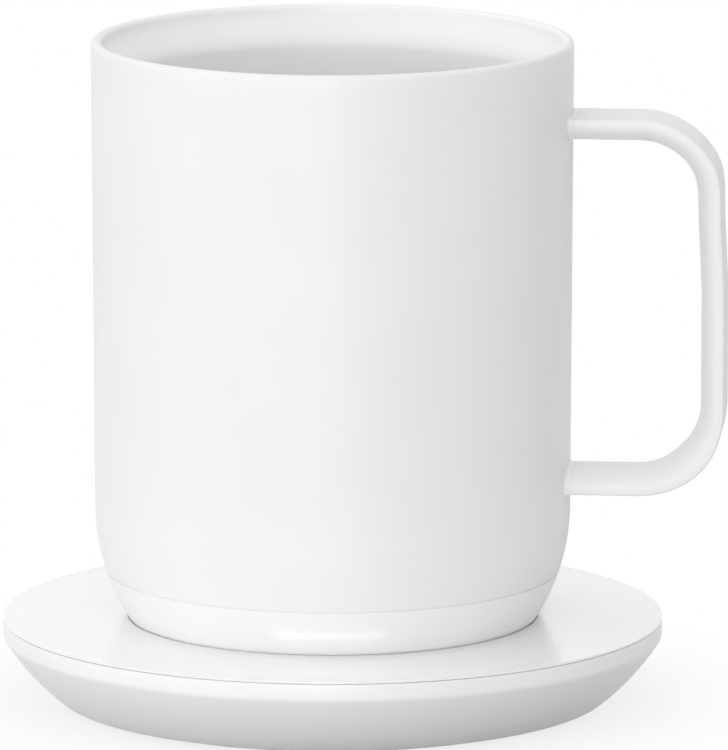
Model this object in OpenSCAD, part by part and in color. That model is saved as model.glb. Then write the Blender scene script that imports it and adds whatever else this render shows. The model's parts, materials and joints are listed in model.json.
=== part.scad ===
// Self-heating mug on its charging coaster.
// The origin is the centre of the coaster's underside, +Z is up and the handle points along +X.

/* [Mug body] */
// Outside diameter of the rim
rim_d = 80; // [76:0.5:88]
// Height of the mug from its foot to its rim
mug_h = 98.5; // [94:0.5:120]
// Radius that the outer wall loses between the rim and the shoulder
wall_draft = 0.4; // [0.3:0.05:1.2]
// Height of the shoulder, where the wall starts to curve in
shoulder_h = 20; // [18:0.5:22]
// Radius of the curve from the shoulder to the foot
shoulder_r = 34.5; // [32:0.5:38]
// Thickness of the outer shell
shell_wall = 0.8; // [0.5:0.1:1]
// Thickness of the lip
lip_t = 1.8; // [1.4:0.1:2.4]
// Height of the lip's outer band
lip_h = 3; // [2:0.1:4]

/* [Inner vessel] */
// Air gap between the shell and the vessel
air_gap = 3.8; // [3:0.05:4.5]
// Thickness of the vessel's wall and floor
vessel_wall = 0.7; // [0.5:0.1:1]
// Depth over which the mouth flares out to the lip
flare_h = 6; // [5:0.5:10]
// Radius between the vessel's wall and its floor
floor_fillet = 8; // [6:0.5:8.5]

/* [Handle] */
// Distance from the mug's axis to the outer face of the handle
handle_reach = 65.5; // [62:0.5:72]
// Height of the top arm's outer face above the mug's foot
handle_top_h = 86.5; // [80:0.5:90]
// Height of the bottom arm's outer face above the mug's foot
handle_low_h = 23.7; // [22:0.1:30]
// Width of the handle's strap
strap_w = 12.6; // [10:0.2:16]
// Thickness of the strap at its middle
strap_t = 4.1; // [3:0.1:5]
// Height of the strap's flat edge
strap_edge = 1.1; // [0.8:0.1:1.6]
// Outside radius of the handle's corners
handle_corner_r = 14.5; // [10:0.5:18]

/* [Base of the mug] */
// Height of the seam between the shell and the base
seam_h = 9.4; // [9:0.1:12]
// Width of the seam
seam_gap = 0.24; // [0.1:0.02:0.4]
// Wall of the base housing
base_wall = 1.8; // [1.4:0.1:2.2]
// Radius of the housing's lower edge
base_edge_r = 0.8; // [0.4:0.1:1.2]
// Thickness of the housing's bottom flange
flange_t = 2.4; // [2.2:0.1:3]
// Height of the spigot that enters the shell
spigot_h = 4; // [3.4:0.1:6]
// Wall of the spigot
spigot_wall = 1.6; // [1.4:0.1:2]
// How far the foot ring stands out of the housing
foot_proud = 0.4; // [0.2:0.1:0.8]
// Depth of the foot ring's groove
foot_groove = 0.6; // [0.4:0.1:0.8]
// Width of the foot ring
foot_w = 3.2; // [3:0.1:3.6]
// How far the bottom cover sits above the housing's underside
cover_recess = 0.3; // [0.1:0.1:0.6]
// Thickness of the bottom cover
cover_t = 1.8; // [1.6:0.1:2.4]
// Thickness of the cover's edge lip
cover_lip_t = 0.8; // [0.6:0.1:1.2]
// Thickness of the gasket under that lip
gasket_t = 0.4; // [0.3:0.1:0.8]

/* [Contacts and button] */
// Width of each contact ring
ring_w = 2.4; // [1.8:0.1:2.8]
// Thickness of the contact rings
ring_t = 0.8; // [0.6:0.1:1]
// Distance between the middles of the two rings
ring_pitch = 5; // [4.5:0.5:6]
// Diameter of the power button
button_d = 8.8; // [8:0.1:11]
// Travel of the power button
button_travel = 0.5; // [0.3:0.1:0.8]
// Height of the switch under the board
switch_h = 1.4; // [1.2:0.1:2]

/* [Electronics] */
// Thickness of both circuit boards
board_t = 1.2; // [0.8:0.1:1.6]
// Length of the battery cells
cell_l = 40; // [34:0.5:42]
// Height of the battery cells
cell_h = 6; // [5:0.1:8]
// Floor thickness of the chassis
tray_t = 0.8; // [0.8:0.1:1.2]
// Wall of the chassis skirt
skirt_wall = 1.4; // [1:0.1:1.6]
// Thickness of the insulation disc
insulation_t = 2.6; // [2:0.1:4]
// Thickness of the foil heater
heater_t = 0.3; // [0.2:0.05:0.5]
// Height of the weld bosses under the vessel
boss_h = 4; // [3.6:0.1:5]

/* [Status light] */
// Direction of the light, measured round the mug from the handle
light_a = -85.5; // [-100:0.5:-80]
// Angle that the light spans
light_span = 32; // [20:1:40]
// Height of the light bar
light_h = 1.9; // [1.4:0.1:2.4]
// Wall left in front of the light
window_wall = 0.7; // [0.5:0.1:1]

/* [Coaster] */
// Diameter of the coaster
coaster_d = 110; // [108:0.5:130]
// Height of the coaster's top face
coaster_h = 14.2; // [13.9:0.1:18]
// Height of the upright band at its edge
band_h = 3.2; // [2.8:0.1:3.4]
// Lean of the bowl just under the band, in degrees
bowl_lean = 32; // [28:1:36]
// Radius of the bowl's curve
bowl_r = 39; // [36:0.5:44]
// Radius between the bowl and its underside
bowl_edge_r = 3; // [2:0.1:4]
// Wall of the bowl
bowl_wall = 2; // [1.6:0.1:2.2]
// Wall of the rim under the top plate's edge
rim_wall = 0.7; // [0.6:0.1:1]
// Thickness of the top plate
plate_t = 2.4; // [2:0.1:2.8]
// Height of the plate's edge, which covers the rim
plate_edge = 0.3; // [0.2:0.05:0.5]
// Depth of the seat for the mug
seat_depth = 1.5; // [1:0.1:2]
// Gap round the mug in its seat
seat_gap = 0.3; // [0.3:0.1:1]
// How far the non-slip pad stands out
pad_proud = 0.5; // [0.3:0.1:0.8]
// Depth of the recess that holds the pad
pad_recess = 0.8; // [0.6:0.1:1]
// Floor thickness of the bowl
bowl_floor = 1.8; // [1.6:0.1:2]

/* [Power inlet and spring pins] */
// Height of the pocket for the plug
pocket_h = 7.8; // [7.4:0.1:7.8]
// Width of the pocket for the plug
pocket_w = 12.4; // [10:0.2:16]
// Diameter of the plug's barrel
barrel_d = 5.5; // [5:0.1:5.5]
// Diameter of the inlet's middle pin
inlet_pin_d = 2; // [1.6:0.1:2.1]
// Depth of the inlet's socket
inlet_depth = 9; // [8:0.1:9.5]
// Diameter of the spring pins
pin_d = 2; // [1.6:0.1:2.4]
// Travel of the spring pins
pin_travel = 1; // [0.6:0.1:1.2]

/* [Hidden] */
$fn = 96;
// Length added to a cutting tool past the face that it cuts
past = 1;
// Clearance of a piece that slides in or seats in another
slide_gap = 0.15;
// Clearance of a piece that is pressed or screwed home
seat_fit = 0.05;
// Steps in a curve that is drawn as points
arc_steps = 14;
// Wall left past the blind end of a screw hole
blind_wall = 0.7;
// Space between a screw's end and the end of its hole
screw_end_gap = 0.25;

// Heights of the mug, from the foot up
mug_z = coaster_h - seat_depth;
rim_z = mug_z + mug_h;
lip_z = rim_z - lip_h;
shoulder_z = mug_z + shoulder_h;
seam_z = mug_z + seam_h;
housing_z = mug_z + foot_proud;
flange_top = housing_z + flange_t;
cover_z = housing_z + cover_recess;
cover_top = cover_z + cover_t;
cover_lip_z = flange_top + gasket_t;

// Outer wall of the mug: a slight cone that runs into the shoulder's curve
rim_r = rim_d / 2;
side_r = rim_r - wall_draft;
draft_a = atan(wall_draft / (rim_z - shoulder_z));
curve_c = [side_r - shoulder_r * cos(draft_a), shoulder_z + shoulder_r * sin(draft_a)];
function arc(c, r, a0, a1, n = arc_steps) =
    [for (i = [0:n]) let(a = a0 + (a1 - a0) * i / n) c + r * [cos(a), sin(a)]];
function flip(p) = [for (i = [len(p) - 1:-1:0]) p[i]];
// Radius of the wall at height z, d inside its outer face
function cone_r(z, d = 0) = side_r + (z - shoulder_z) * tan(draft_a) - d / cos(draft_a);
function curve_a(z, d = 0) = asin((z - curve_c.y) / (shoulder_r - d));
function curve_r(z, d = 0) = curve_c.x + (shoulder_r - d) * cos(curve_a(z, d));
function curve(z0, z1, d = 0) = arc(curve_c, shoulder_r - d, curve_a(z0, d), curve_a(z1, d));

// Lower edge of the housing, rounded between the curve and its flat underside
edge_z = housing_z + base_edge_r;
edge_c = [curve_r(edge_z, base_edge_r), edge_z];

// Chassis skirt and the pieces that stand on its circle
skirt_gap = 0.3;
skirt_r = curve_r(flange_top, base_wall) - skirt_gap;
tray_r = skirt_r - skirt_wall;
base_boss_r = 1.9;
base_screw_r = 0.8;
base_head_r = 1.4;
base_head_h = 0.7;
base_ring_r = skirt_r - base_boss_r - skirt_gap / 3;
base_screw_angles = [45, 135, 225, 315];
cover_edge = 1.9;
cover_r = base_ring_r - foot_w / 2 - cover_edge;
cover_lip_r = base_ring_r - base_boss_r - skirt_gap;

// Button, switch and contact rings in the bottom cover
button_r = button_d / 2;
button_flange_w = 1.8;
button_flange_r = button_r + button_flange_w;
button_flange_t = 0.5;
button_seal_t = 0.4;
button_seal_r = button_flange_r + button_seal_t;
button_recess = 0.1;
button_spare = 0.1;
button_face_z = cover_z + button_recess;
button_flange_z = cover_top + button_seal_t + seat_fit;
stem_r = 1.6;
stem_h = 0.25;
stem_top = button_flange_z + button_flange_t + stem_h;
plunger_r = 1;
plunger_in = 0.4;
plunger_proud = button_travel + button_spare;
plunger_l = plunger_proud + plunger_in;
tail_r = 0.5;
tail_gap = 0.9;
ring_in_r = button_seal_r + tail_r + tail_gap;
ring_out_r = ring_in_r + ring_pitch;

// Boards, chassis, battery and heater, stacked up to the vessel
board_z = stem_top + plunger_proud + switch_h;
board_top = board_z + board_t;
board_r = cover_r;
rib_w = 1.4;
rib_inset = 5;
rib_r = board_r - rib_inset;
rib_h = 0.4;
tray_z = board_top + rib_h;
tray_top = tray_z + tray_t;
cell_top = tray_top + cell_h;
heater_z = cell_top + insulation_t;
vessel_z = heater_z + heater_t;
floor_z = vessel_z + vessel_wall;
vessel_r = side_r - shell_wall - air_gap - vessel_wall;
cell_gap = 0.6;
cell_corner = 1.5;
cell_margin = 2.5;
cell_w = sqrt(pow(tray_r - cell_margin, 2) - pow(cell_l / 2, 2));
weld_boss_r = 2.2;
post_r = 2.6;
post_gap = 0.3;
post_x = cell_w + post_gap + post_r;
post_y = cell_l / 2 + post_gap + post_r;
posts = [[post_x, 0], [0, post_y], [-post_x, 0], [0, -post_y]];
post_top = vessel_z - boss_h;
chassis_screw_r = 0.95;
chassis_head_r = 1.75;
chassis_head_h = 1.1;
heater_gap = 0.7;
heater_r = min(post_x, post_y) - weld_boss_r - heater_gap;
heater_tail_x = 3.6;
heater_tail_w = 5;
heater_tail_gap = 0.9;
heater_tail_y = cell_l / 2 + heater_tail_gap;
lead_r = 0.6;
lead_y = cell_l / 2 + 2 * lead_r;
lead_x = [-5, -8];
sensor_r = 1.5;
sensor_t = 0.8;
sensor_x = 12;

// Status light
led_l = 1.8;
led_w = 3;
led_h = 1.2;
light_z = board_z - led_h / 2;
light_gap = 0.1;
pipe_r = skirt_r + skirt_gap;
pipe_stem_w = 4;
pipe_stem_h = led_h - 2 * light_gap;

// Coaster: band, bowl, floor and seat
coaster_r = coaster_d / 2;
band_z = coaster_h - band_h;
bowl_z = pad_proud;
bowl_c = [coaster_r - bowl_r * cos(bowl_lean), band_z + bowl_r * sin(bowl_lean)];
bowl_edge_z = bowl_z + bowl_edge_r;
bowl_edge_a = asin((bowl_edge_z - bowl_c.y) / (bowl_r - bowl_edge_r));
bowl_edge_c = bowl_c + (bowl_r - bowl_edge_r) * [cos(bowl_edge_a), sin(bowl_edge_a)];
function bowl_a(z) = asin((z - bowl_c.y) / (bowl_r - bowl_wall));
pad_z = bowl_z + pad_recess;
floor_top = pad_z + bowl_floor;
pad_inset = 1.3;
pad_r = bowl_edge_c.x - pad_inset;
plate_r = coaster_r - rim_wall - slide_gap;
plate_z = coaster_h - plate_t;
plate_edge_z = coaster_h - plate_edge;
rim_top = plate_edge_z - slide_gap;
seat_r = curve_r(coaster_h) + seat_gap;
seat_edge_r = 0.15;
dish_t = 2;
dish_wall = 2.2;
dish_r = seat_r + dish_wall;
dish_z = mug_z - dish_t;
plate_post_r = 2.6;
plate_post_gap = 0.7;
plate_post_ring = dish_r + plate_post_r + plate_post_gap;
bowl_boss_h = 1.9;
plate_post_z = floor_top + bowl_boss_h;
coaster_screw_r = 1.2;
coaster_head_r = 2.2;
coaster_head_h = 1.3;

// Power inlet at the back of the coaster
jack_z = band_z - pocket_h / 2;
jack_h = 7;
jack_w = 9;
socket_gap = 0.1;
socket_wall = 0.55;
socket_r = barrel_d / 2 + socket_gap;
jack_nose_r = socket_r + socket_wall;
pocket_depth = 6;
pocket_y = coaster_r - pocket_depth;
pocket_wall = 2.4;
pocket_corner = 1.5;
jack_front = pocket_y - pocket_wall;
jack_l = 11.3;
jack_back = pocket_y - jack_l;
jack_lug_l = 2.5;
jack_lug_w = 2;
jack_lug_t = 0.4;
inlet_step = 0.25;
inlet_root_r = inlet_pin_d / 2 - inlet_step;
inlet_setback = 0.8;

// Coaster board and the spring pins that it carries
stand_h = 1;
stand_r = 2;
coaster_board_z = floor_top + stand_h;
coaster_board_top = coaster_board_z + board_t;
coaster_board_w = 42;
coaster_board_front = -22;
coaster_board_back = jack_back - slide_gap;
stand_inset = 4;
board_screw_r = 0.8;
board_head_r = 1.5;
board_head_h = 0.8;
pin_r = pin_d / 2;
pin_play = 0.1;
pin_collar_w = 0.2;
pin_collar_r = pin_r + pin_collar_w;
pin_bore_r = pin_collar_r + pin_play;
pin_barrel_wall = 0.4;
pin_barrel_r = pin_bore_r + pin_barrel_wall;
pin_barrel_top = dish_z - slide_gap;
pin_crimp_h = 0.6;
pin_contact_gap = 0.1;
pin_tip_z = cover_z - pin_contact_gap;
pin_collar_top = pin_barrel_top - pin_crimp_h - pin_play;
pin_floor_t = 0.5;
pin_floor = coaster_board_top + pin_floor_t;
pin_spots = [[-ring_in_r, 0], [ring_out_r, 0]];
spring_wire_r = 0.15;
spring_turns = 6;
spring_gap = 0.25;
spring_l = 2 * spring_wire_r * spring_turns + pin_travel + seat_fit;
pin_collar_z = pin_floor + spring_l;

// A cylinder between two heights
module post(r, z0, z1) {
    translate([0, 0, z0]) cylinder(r = r, h = z1 - z0);
}

// A ring of rectangular section between two radii and two heights
module ring(r0, r1, z0, z1) {
    rotate_extrude() translate([r0, z0]) square([r1 - r0, z1 - z0]);
}

// Children set at each of the points given
module at_each(points) {
    for (p = points) translate([p.x, p.y, 0]) children();
}

// Points on a circle at the angles given
function on_circle(r, angles) = [for (a = angles) r * [cos(a), sin(a)]];

// A rectangle with round corners, centred on the origin
module round_rect(w, h, r) {
    square([w - 2 * r, h], center = true);
    square([w, h - 2 * r], center = true);
    for (x = [-1, 1], y = [-1, 1]) translate([x * (w / 2 - r), y * (h / 2 - r)]) circle(r);
}

// A tube along a list of points, closed at both ends
module sweep(path, r, sides) {
    n = len(path);
    rings = [for (i = [0:n - 1])
        let(a = path[max(i - 1, 0)], b = path[min(i + 1, n - 1)], t = (b - a) / norm(b - a),
            u0 = cross([0, 0, 1], t), u = u0 / norm(u0), v = cross(t, u))
        for (k = [0:sides - 1]) path[i] + r * (u * cos(360 * k / sides) + v * sin(360 * k / sides))];
    sides_f = [for (i = [0:n - 2], k = [0:sides - 1])
        let(a = i * sides + k, b = i * sides + (k + 1) % sides)
        each [[a, b + sides, b], [a, a + sides, b + sides]]];
    start_f = [for (k = [1:sides - 2]) [0, k, k + 1]];
    end_f = [for (k = [1:sides - 2]) (n - 1) * sides * [1, 1, 1] + [0, k + 1, k]];
    polyhedron(points = rings, faces = concat(sides_f, start_f, end_f));
}

// Outer shell: thin steel, open at the lip and at the seam
module outer_shell() {
    z0 = seam_z + seam_gap / 2;
    color("white")
    rotate_extrude()
    polygon(concat(
        curve(z0, shoulder_z),
        [[cone_r(lip_z), lip_z], [cone_r(lip_z, shell_wall), lip_z]],
        flip(curve(z0, shoulder_z, shell_wall))));
}

// The mouth's flare, d outside the vessel's inner face, between two shares of its depth
flare_top = rim_z - lip_t / 2;
function flare(s0, s1, d = 0) = [for (i = [0:arc_steps])
    let(s = s0 + (s1 - s0) * i / arc_steps, w = rim_r - lip_t - vessel_r)
    [vessel_r + d + w * (1 + cos(180 * s)) / 2, flare_top - flare_h * s]];

// Inner vessel: straight wall, flared mouth and the rounded lip that meets the shell
module inner_vessel() {
    fillet_c = [vessel_r - floor_fillet, floor_z + floor_fillet];
    lip_share = (flare_top - lip_z) / flare_h;
    color("white")
    rotate_extrude()
    polygon(concat(
        [[0, floor_z]],
        arc(fillet_c, floor_fillet, -90, 0),
        flare(1, 0),
        arc([rim_r - lip_t / 2, flare_top], lip_t / 2, 180, 0),
        [[cone_r(lip_z), lip_z]],
        flare(lip_share, 1, vessel_wall),
        arc(fillet_c, floor_fillet + vessel_wall, 0, -90),
        [[0, vessel_z]]));
}

// Strap section: x is out from the outer face, y is across the strap
module strap_section() {
    n = 2 * arc_steps;
    belly = strap_t - strap_edge;
    polygon(concat(
        [[0, -strap_w / 2], [0, strap_w / 2]],
        [for (i = [0:n]) let(a = 180 * i / n) [-strap_edge - belly * sin(a), strap_w / 2 * cos(a)]]));
}

// Handle: the strap runs out, round two corners and back, and is scribed to the wall
module handle() {
    top = mug_z + handle_top_h;
    low = mug_z + handle_low_h;
    corner_x = handle_reach - handle_corner_r;
    start = side_r - 2 * shell_wall - wall_draft;
    color("white")
    difference() {
        rotate([90, 0, 0]) {
            translate([start, top, 0]) rotate([90, 0, 90]) linear_extrude(corner_x - start) strap_section();
            translate([corner_x, top - handle_corner_r, 0])
                rotate_extrude(angle = 90) translate([handle_corner_r, 0]) strap_section();
            translate([handle_reach, top - handle_corner_r, 0])
                rotate([90, 0, 0]) linear_extrude(top - low - 2 * handle_corner_r) strap_section();
            translate([corner_x, low + handle_corner_r, 0]) rotate([0, 0, -90])
                rotate_extrude(angle = 90) translate([handle_corner_r, 0]) strap_section();
            translate([start, low, 0]) mirror([0, 1, 0])
                rotate([90, 0, 90]) linear_extrude(corner_x - start) strap_section();
        }
        rotate_extrude()
        polygon([[0, shoulder_z], [side_r, shoulder_z], [cone_r(lip_z), lip_z], [0, lip_z]]);
    }
}

// Base housing: the curved ring below the seam, its bottom flange and the spigot inside the shell
spigot_r = curve_r(seam_z + seam_gap / 2, shell_wall) - slide_gap;
seal_z0 = seam_z + spigot_h * 0.3;
seal_z1 = seam_z + spigot_h * 0.65;
seal_groove = 0.8;
module base_housing() {
    z1 = seam_z - seam_gap / 2;
    step_z = z1 - 1;
    color("white")
    difference() {
        rotate_extrude()
        polygon(concat(
            [[cover_r + slide_gap, housing_z]],
            arc(edge_c, base_edge_r, -90, curve_a(edge_z, base_edge_r)),
            arc(curve_c, shoulder_r, curve_a(edge_z, base_edge_r), curve_a(z1)),
            [[spigot_r, z1], [spigot_r, seam_z + spigot_h], [spigot_r - spigot_wall, seam_z + spigot_h],
             [spigot_r - spigot_wall, step_z]],
            flip(curve(flange_top, step_z, base_wall)),
            [[cover_r + slide_gap, flange_top]]));
        ring(spigot_r - seal_groove, spigot_r + past, seal_z0, seal_z1);
        ring(base_ring_r - foot_w / 2 - seat_fit, base_ring_r + foot_w / 2 + seat_fit,
             housing_z - past, housing_z + foot_groove);
        at_each(on_circle(base_ring_r, base_screw_angles)) {
            post(base_head_r + slide_gap, housing_z, housing_z + foot_groove + base_head_h + slide_gap);
            post(base_screw_r + slide_gap, housing_z, flange_top + past);
        }
        light_pocket();
    }
}

// Space behind the status light, cut into the housing's wall from inside
module light_pocket() {
    reach = light_h / 2 + light_gap;
    angle = light_span + 1;
    rotate([0, 0, light_a - angle / 2])
    rotate_extrude(angle = angle)
    polygon(concat(
        [[skirt_r, light_z - reach]],
        curve(light_z - reach, light_z + reach, window_wall),
        [[skirt_r, light_z + reach]]));
}

// Sealing ring in the spigot's groove, against the shell
module base_seal() {
    color("dimgray")
    rotate_extrude()
    polygon([[spigot_r - seal_groove + seat_fit, seal_z0 + seat_fit],
             [curve_r(seal_z0, shell_wall) - seat_fit, seal_z0 + seat_fit],
             [curve_r(seal_z1, shell_wall) - seat_fit, seal_z1 - seat_fit],
             [spigot_r - seal_groove + seat_fit, seal_z1 - seat_fit]]);
}

// Soft foot ring in the housing's underside, over the screws
module foot_ring() {
    w = foot_w / 2;
    color("gainsboro") ring(base_ring_r - w, base_ring_r + w, mug_z, housing_z + foot_groove);
}

// Bottom cover: a disc with an edge lip, grooves for the contact rings and the rib under the board
module bottom_cover() {
    color("whitesmoke")
    difference() {
        union() {
            post(cover_r, cover_z, cover_top);
            ring(cover_r - rib_w, cover_r, cover_z, cover_lip_z + cover_lip_t);
            ring(cover_r - rib_w, cover_lip_r, cover_lip_z, cover_lip_z + cover_lip_t);
            ring(rib_r - rib_w, rib_r, cover_z, board_z);
        }
        post(button_r + slide_gap, cover_z - past, cover_top + past);
        contact_groove(ring_in_r);
        contact_groove(ring_out_r);
    }
}

// Groove and tail holes for a contact ring
module contact_groove(r) {
    w = ring_w / 2 + seat_fit;
    ring(r - w, r + w, cover_z - past, cover_z + ring_t + seat_fit);
    at_each(on_circle(r, [90, 270])) post(tail_r + slide_gap, cover_z, cover_top + past);
}

// Gasket between the cover's lip and the flange
module cover_gasket() {
    color("dimgray") ring(cover_r + 2 * slide_gap, cover_lip_r, flange_top, cover_lip_z);
}

// Contact ring with two tails up to the board
module contact_ring(r) {
    color("gold") {
        ring(r - ring_w / 2, r + ring_w / 2, cover_z, cover_z + ring_t);
        at_each(on_circle(r, [90, 270])) post(tail_r, cover_z + ring_t / 2, board_z);
    }
}
module inner_contact_ring() { contact_ring(ring_in_r); }
module outer_contact_ring() { contact_ring(ring_out_r); }

// Soft ring that the button's flange rests on
module button_seal() {
    color("dimgray") ring(button_r + slide_gap, button_seal_r, cover_top, cover_top + button_seal_t);
}

// Chassis: a skirt with a floor, posts up to the vessel and bosses down to the base housing
module chassis() {
    color("darkslategray")
    difference() {
        union() {
            ring(tray_r, skirt_r, flange_top, vessel_z);
            post(skirt_r - skirt_wall / 2, tray_z, tray_top);
            ring(rib_r - rib_w, rib_r, board_top, tray_z + tray_t / 2);
            at_each(posts) post(post_r, tray_z, post_top);
            at_each(on_circle(base_ring_r, base_screw_angles))
                post(base_boss_r, flange_top, tray_z + tray_t / 2);
        }
        at_each(posts) {
            post(chassis_screw_r + slide_gap, tray_z - past, post_top + past);
            post(chassis_head_r + slide_gap, tray_z - past, tray_z + chassis_head_h + slide_gap);
        }
        at_each(on_circle(base_ring_r, base_screw_angles))
            post(base_screw_r + seat_fit, flange_top - past, tray_z);
        heater_slot(tray_z, tray_top);
        at_each([for (x = lead_x) [x, lead_y]]) post(lead_r + slide_gap, tray_z - past, tray_top + past);
        rotate([0, 0, light_a])
            translate([tray_r - past, -pipe_stem_w / 2 - slide_gap, light_z - pipe_stem_h / 2 - slide_gap])
            cube([skirt_wall + 2 * past, pipe_stem_w + 2 * slide_gap, pipe_stem_h + 2 * slide_gap]);
    }
}

// Slot for the heater's tail between two heights
module heater_slot(z0, z1) {
    translate([heater_tail_x - slide_gap, heater_tail_y - slide_gap, z0 - past])
        cube([heater_tail_w + 2 * slide_gap, heater_t + 2 * slide_gap, z1 - z0 + 2 * past]);
}

// Threaded bosses welded under the vessel
module weld_bosses() {
    color("silver")
    at_each(posts)
    difference() {
        post(weld_boss_r, post_top, vessel_z);
        post(chassis_screw_r + seat_fit, post_top - past, vessel_z - blind_wall);
    }
}

// A pan-head screw, head down, with its head's underside at z and its shank up to z1
module screw(head_r, head_h, shank_r, z, z1) {
    rotate_extrude()
    polygon([[0, z - head_h], [head_r * 0.8, z - head_h], [head_r, z - head_h * 0.7], [head_r, z],
             [shank_r, z], [shank_r, z1 - shank_r], [shank_r * 0.5, z1], [0, z1]]);
}

// Screws that hold the chassis to the vessel
module chassis_screws() {
    color("silver")
    at_each(posts)
    screw(chassis_head_r, chassis_head_h, chassis_screw_r, tray_z + chassis_head_h + slide_gap,
          vessel_z - blind_wall - screw_end_gap);
}

// Screws that hold the base housing to the chassis, under the foot ring
module base_screws() {
    color("silver")
    at_each(on_circle(base_ring_r, base_screw_angles))
    screw(base_head_r, base_head_h, base_screw_r, housing_z + foot_groove + base_head_h + slide_gap,
          tray_z - screw_end_gap);
}

// Main circuit board
module main_board() {
    color("darkgreen") post(board_r, board_z, board_top);
}

// Chips, coil and connector under the board, as [x, y, width, depth, height]
module board_parts() {
    parts = [[-11, 9, 7, 7, 1], [11, 9, 5, 5, 0.9], [11, -10, 6, 6, 1.6], [-11, -10, 5, 3, 1.5],
             [-15, 0, 2, 1.2, 0.8], [16, 2, 2, 1.2, 0.8], [5, 16, 3.2, 1.6, 0.8]];
    color("black")
    for (p = parts) translate([p[0] - p[2] / 2, p[1] - p[3] / 2, board_z - p[4]]) cube([p[2], p[3], p[4]]);
}

// Push switch under the middle of the board
module tact_switch() {
    w = 4.6;
    color("black")
    difference() {
        translate([-w / 2, -w / 2, board_z - switch_h]) cube([w, w, switch_h]);
        post(plunger_r + seat_fit, board_z - switch_h - past, stem_top + plunger_l + plunger_proud);
    }
}

// Light source on the board's edge, behind the status light
module status_led() {
    color("ivory")
    rotate([0, 0, light_a])
    translate([board_r - led_l, -led_w / 2, board_z - led_h]) cube([led_l, led_w, led_h]);
}

// Clear bar that spreads the light along the housing's wall
module light_pipe() {
    front = window_wall + light_gap;
    bar_low = light_z - light_h / 2;
    bar_high = light_z + light_h / 2;
    color("lightcyan")
    union() {
        rotate([0, 0, light_a - light_span / 2])
            rotate_extrude(angle = light_span)
            polygon(concat([[pipe_r, bar_low]], curve(bar_low, bar_high, front), [[pipe_r, bar_high]]));
        rotate([0, 0, light_a])
            translate([board_r + light_gap, -pipe_stem_w / 2, light_z - pipe_stem_h / 2])
            cube([pipe_r - board_r + light_h / 2, pipe_stem_w, pipe_stem_h]);
    }
}

// Two flat battery cells side by side
module battery_cells() {
    w = cell_w - cell_gap / 2;
    color("lightsteelblue")
    for (s = [-1, 1]) translate([s * (cell_gap + w) / 2, 0, tray_top])
        linear_extrude(cell_h) round_rect(w, cell_l, cell_corner);
}

// Two leads from the cells down to the board
module battery_leads() {
    z = tray_top + cell_h / 2;
    color("firebrick")
    for (x = lead_x) translate([x, 0, 0]) {
        translate([0, lead_y, 0]) post(lead_r, board_top, z);
        translate([0, lead_y, z]) sphere(lead_r);
        translate([0, cell_l / 2, z]) rotate([-90, 0, 0]) cylinder(r = lead_r, h = lead_y - cell_l / 2);
    }
}

// Insulation between the battery and the heater
module insulation_disc() {
    color("beige")
    difference() {
        post(tray_r - 2 * post_gap, cell_top, heater_z);
        at_each(posts) post(weld_boss_r + post_gap, cell_top - past, heater_z + past);
        heater_slot(cell_top, heater_z);
        at_each([[-sensor_x, 0], [sensor_x, 0]]) post(sensor_r + slide_gap, cell_top - past, heater_z + past);
    }
}

// Foil heater under the vessel's floor, with its tail down to the board
module heater() {
    color("darkgoldenrod")
    union() {
        post(heater_r, heater_z, vessel_z);
        translate([heater_tail_x, heater_r / 2, heater_z])
            cube([heater_tail_w, heater_tail_y + heater_t - heater_r / 2, heater_t]);
        translate([heater_tail_x, heater_tail_y, board_top])
            cube([heater_tail_w, heater_t, vessel_z - board_top]);
    }
}

// Temperature sensors held against the heater
module temperature_sensors() {
    color("dimgray")
    at_each([[-sensor_x, 0], [sensor_x, 0]]) post(sensor_r, heater_z - sensor_t, heater_z);
}

// Power button in the middle of the bottom cover
module button_cap() {
    edge = 0.3;
    color("gainsboro")
    rotate_extrude()
    polygon(concat(
        [[0, button_face_z]],
        arc([button_r - edge, button_face_z + edge], edge, -90, 0, 6),
        [[button_r, button_flange_z], [button_flange_r, button_flange_z],
         [button_flange_r, button_flange_z + button_flange_t], [stem_r, button_flange_z + button_flange_t],
         [stem_r, stem_top], [0, stem_top]]));
}

// Plunger that the button pushes into the switch
module switch_plunger() {
    color("black") post(plunger_r, stem_top, stem_top + plunger_l);
}

// Coaster's top plate: flat, with an edge over the rim, a round seat, pin holes and four screw posts
module coaster_top() {
    chamfer = 0.1;
    color("white")
    difference() {
        union() {
            rotate_extrude()
            polygon(concat(
                [[0, dish_z], [dish_r, dish_z], [dish_r, plate_z], [plate_r, plate_z],
                 [plate_r, plate_edge_z], [coaster_r, plate_edge_z],
                 [coaster_r, coaster_h - chamfer], [coaster_r - chamfer, coaster_h]],
                arc([seat_r + seat_edge_r, coaster_h - seat_edge_r], seat_edge_r, 90, 180, 6),
                [[seat_r, mug_z], [0, mug_z]]));
            at_each(on_circle(plate_post_ring, base_screw_angles))
                post(plate_post_r, plate_post_z, plate_z + plate_t / 2);
        }
        at_each(pin_spots) post(pin_r + slide_gap, dish_z - past, mug_z + past);
        at_each(on_circle(plate_post_ring, base_screw_angles))
            post(coaster_screw_r + seat_fit, plate_post_z - past, plate_z);
    }
}

// Outside of the bowl as a solid: underside, round edge, curve and band
module bowl_outside() {
    rotate_extrude()
    polygon(concat(
        [[0, bowl_z]],
        arc(bowl_edge_c, bowl_edge_r, -90, bowl_edge_a),
        arc(bowl_c, bowl_r, bowl_edge_a, -bowl_lean),
        [[coaster_r, rim_top], [0, rim_top]]));
}

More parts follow.
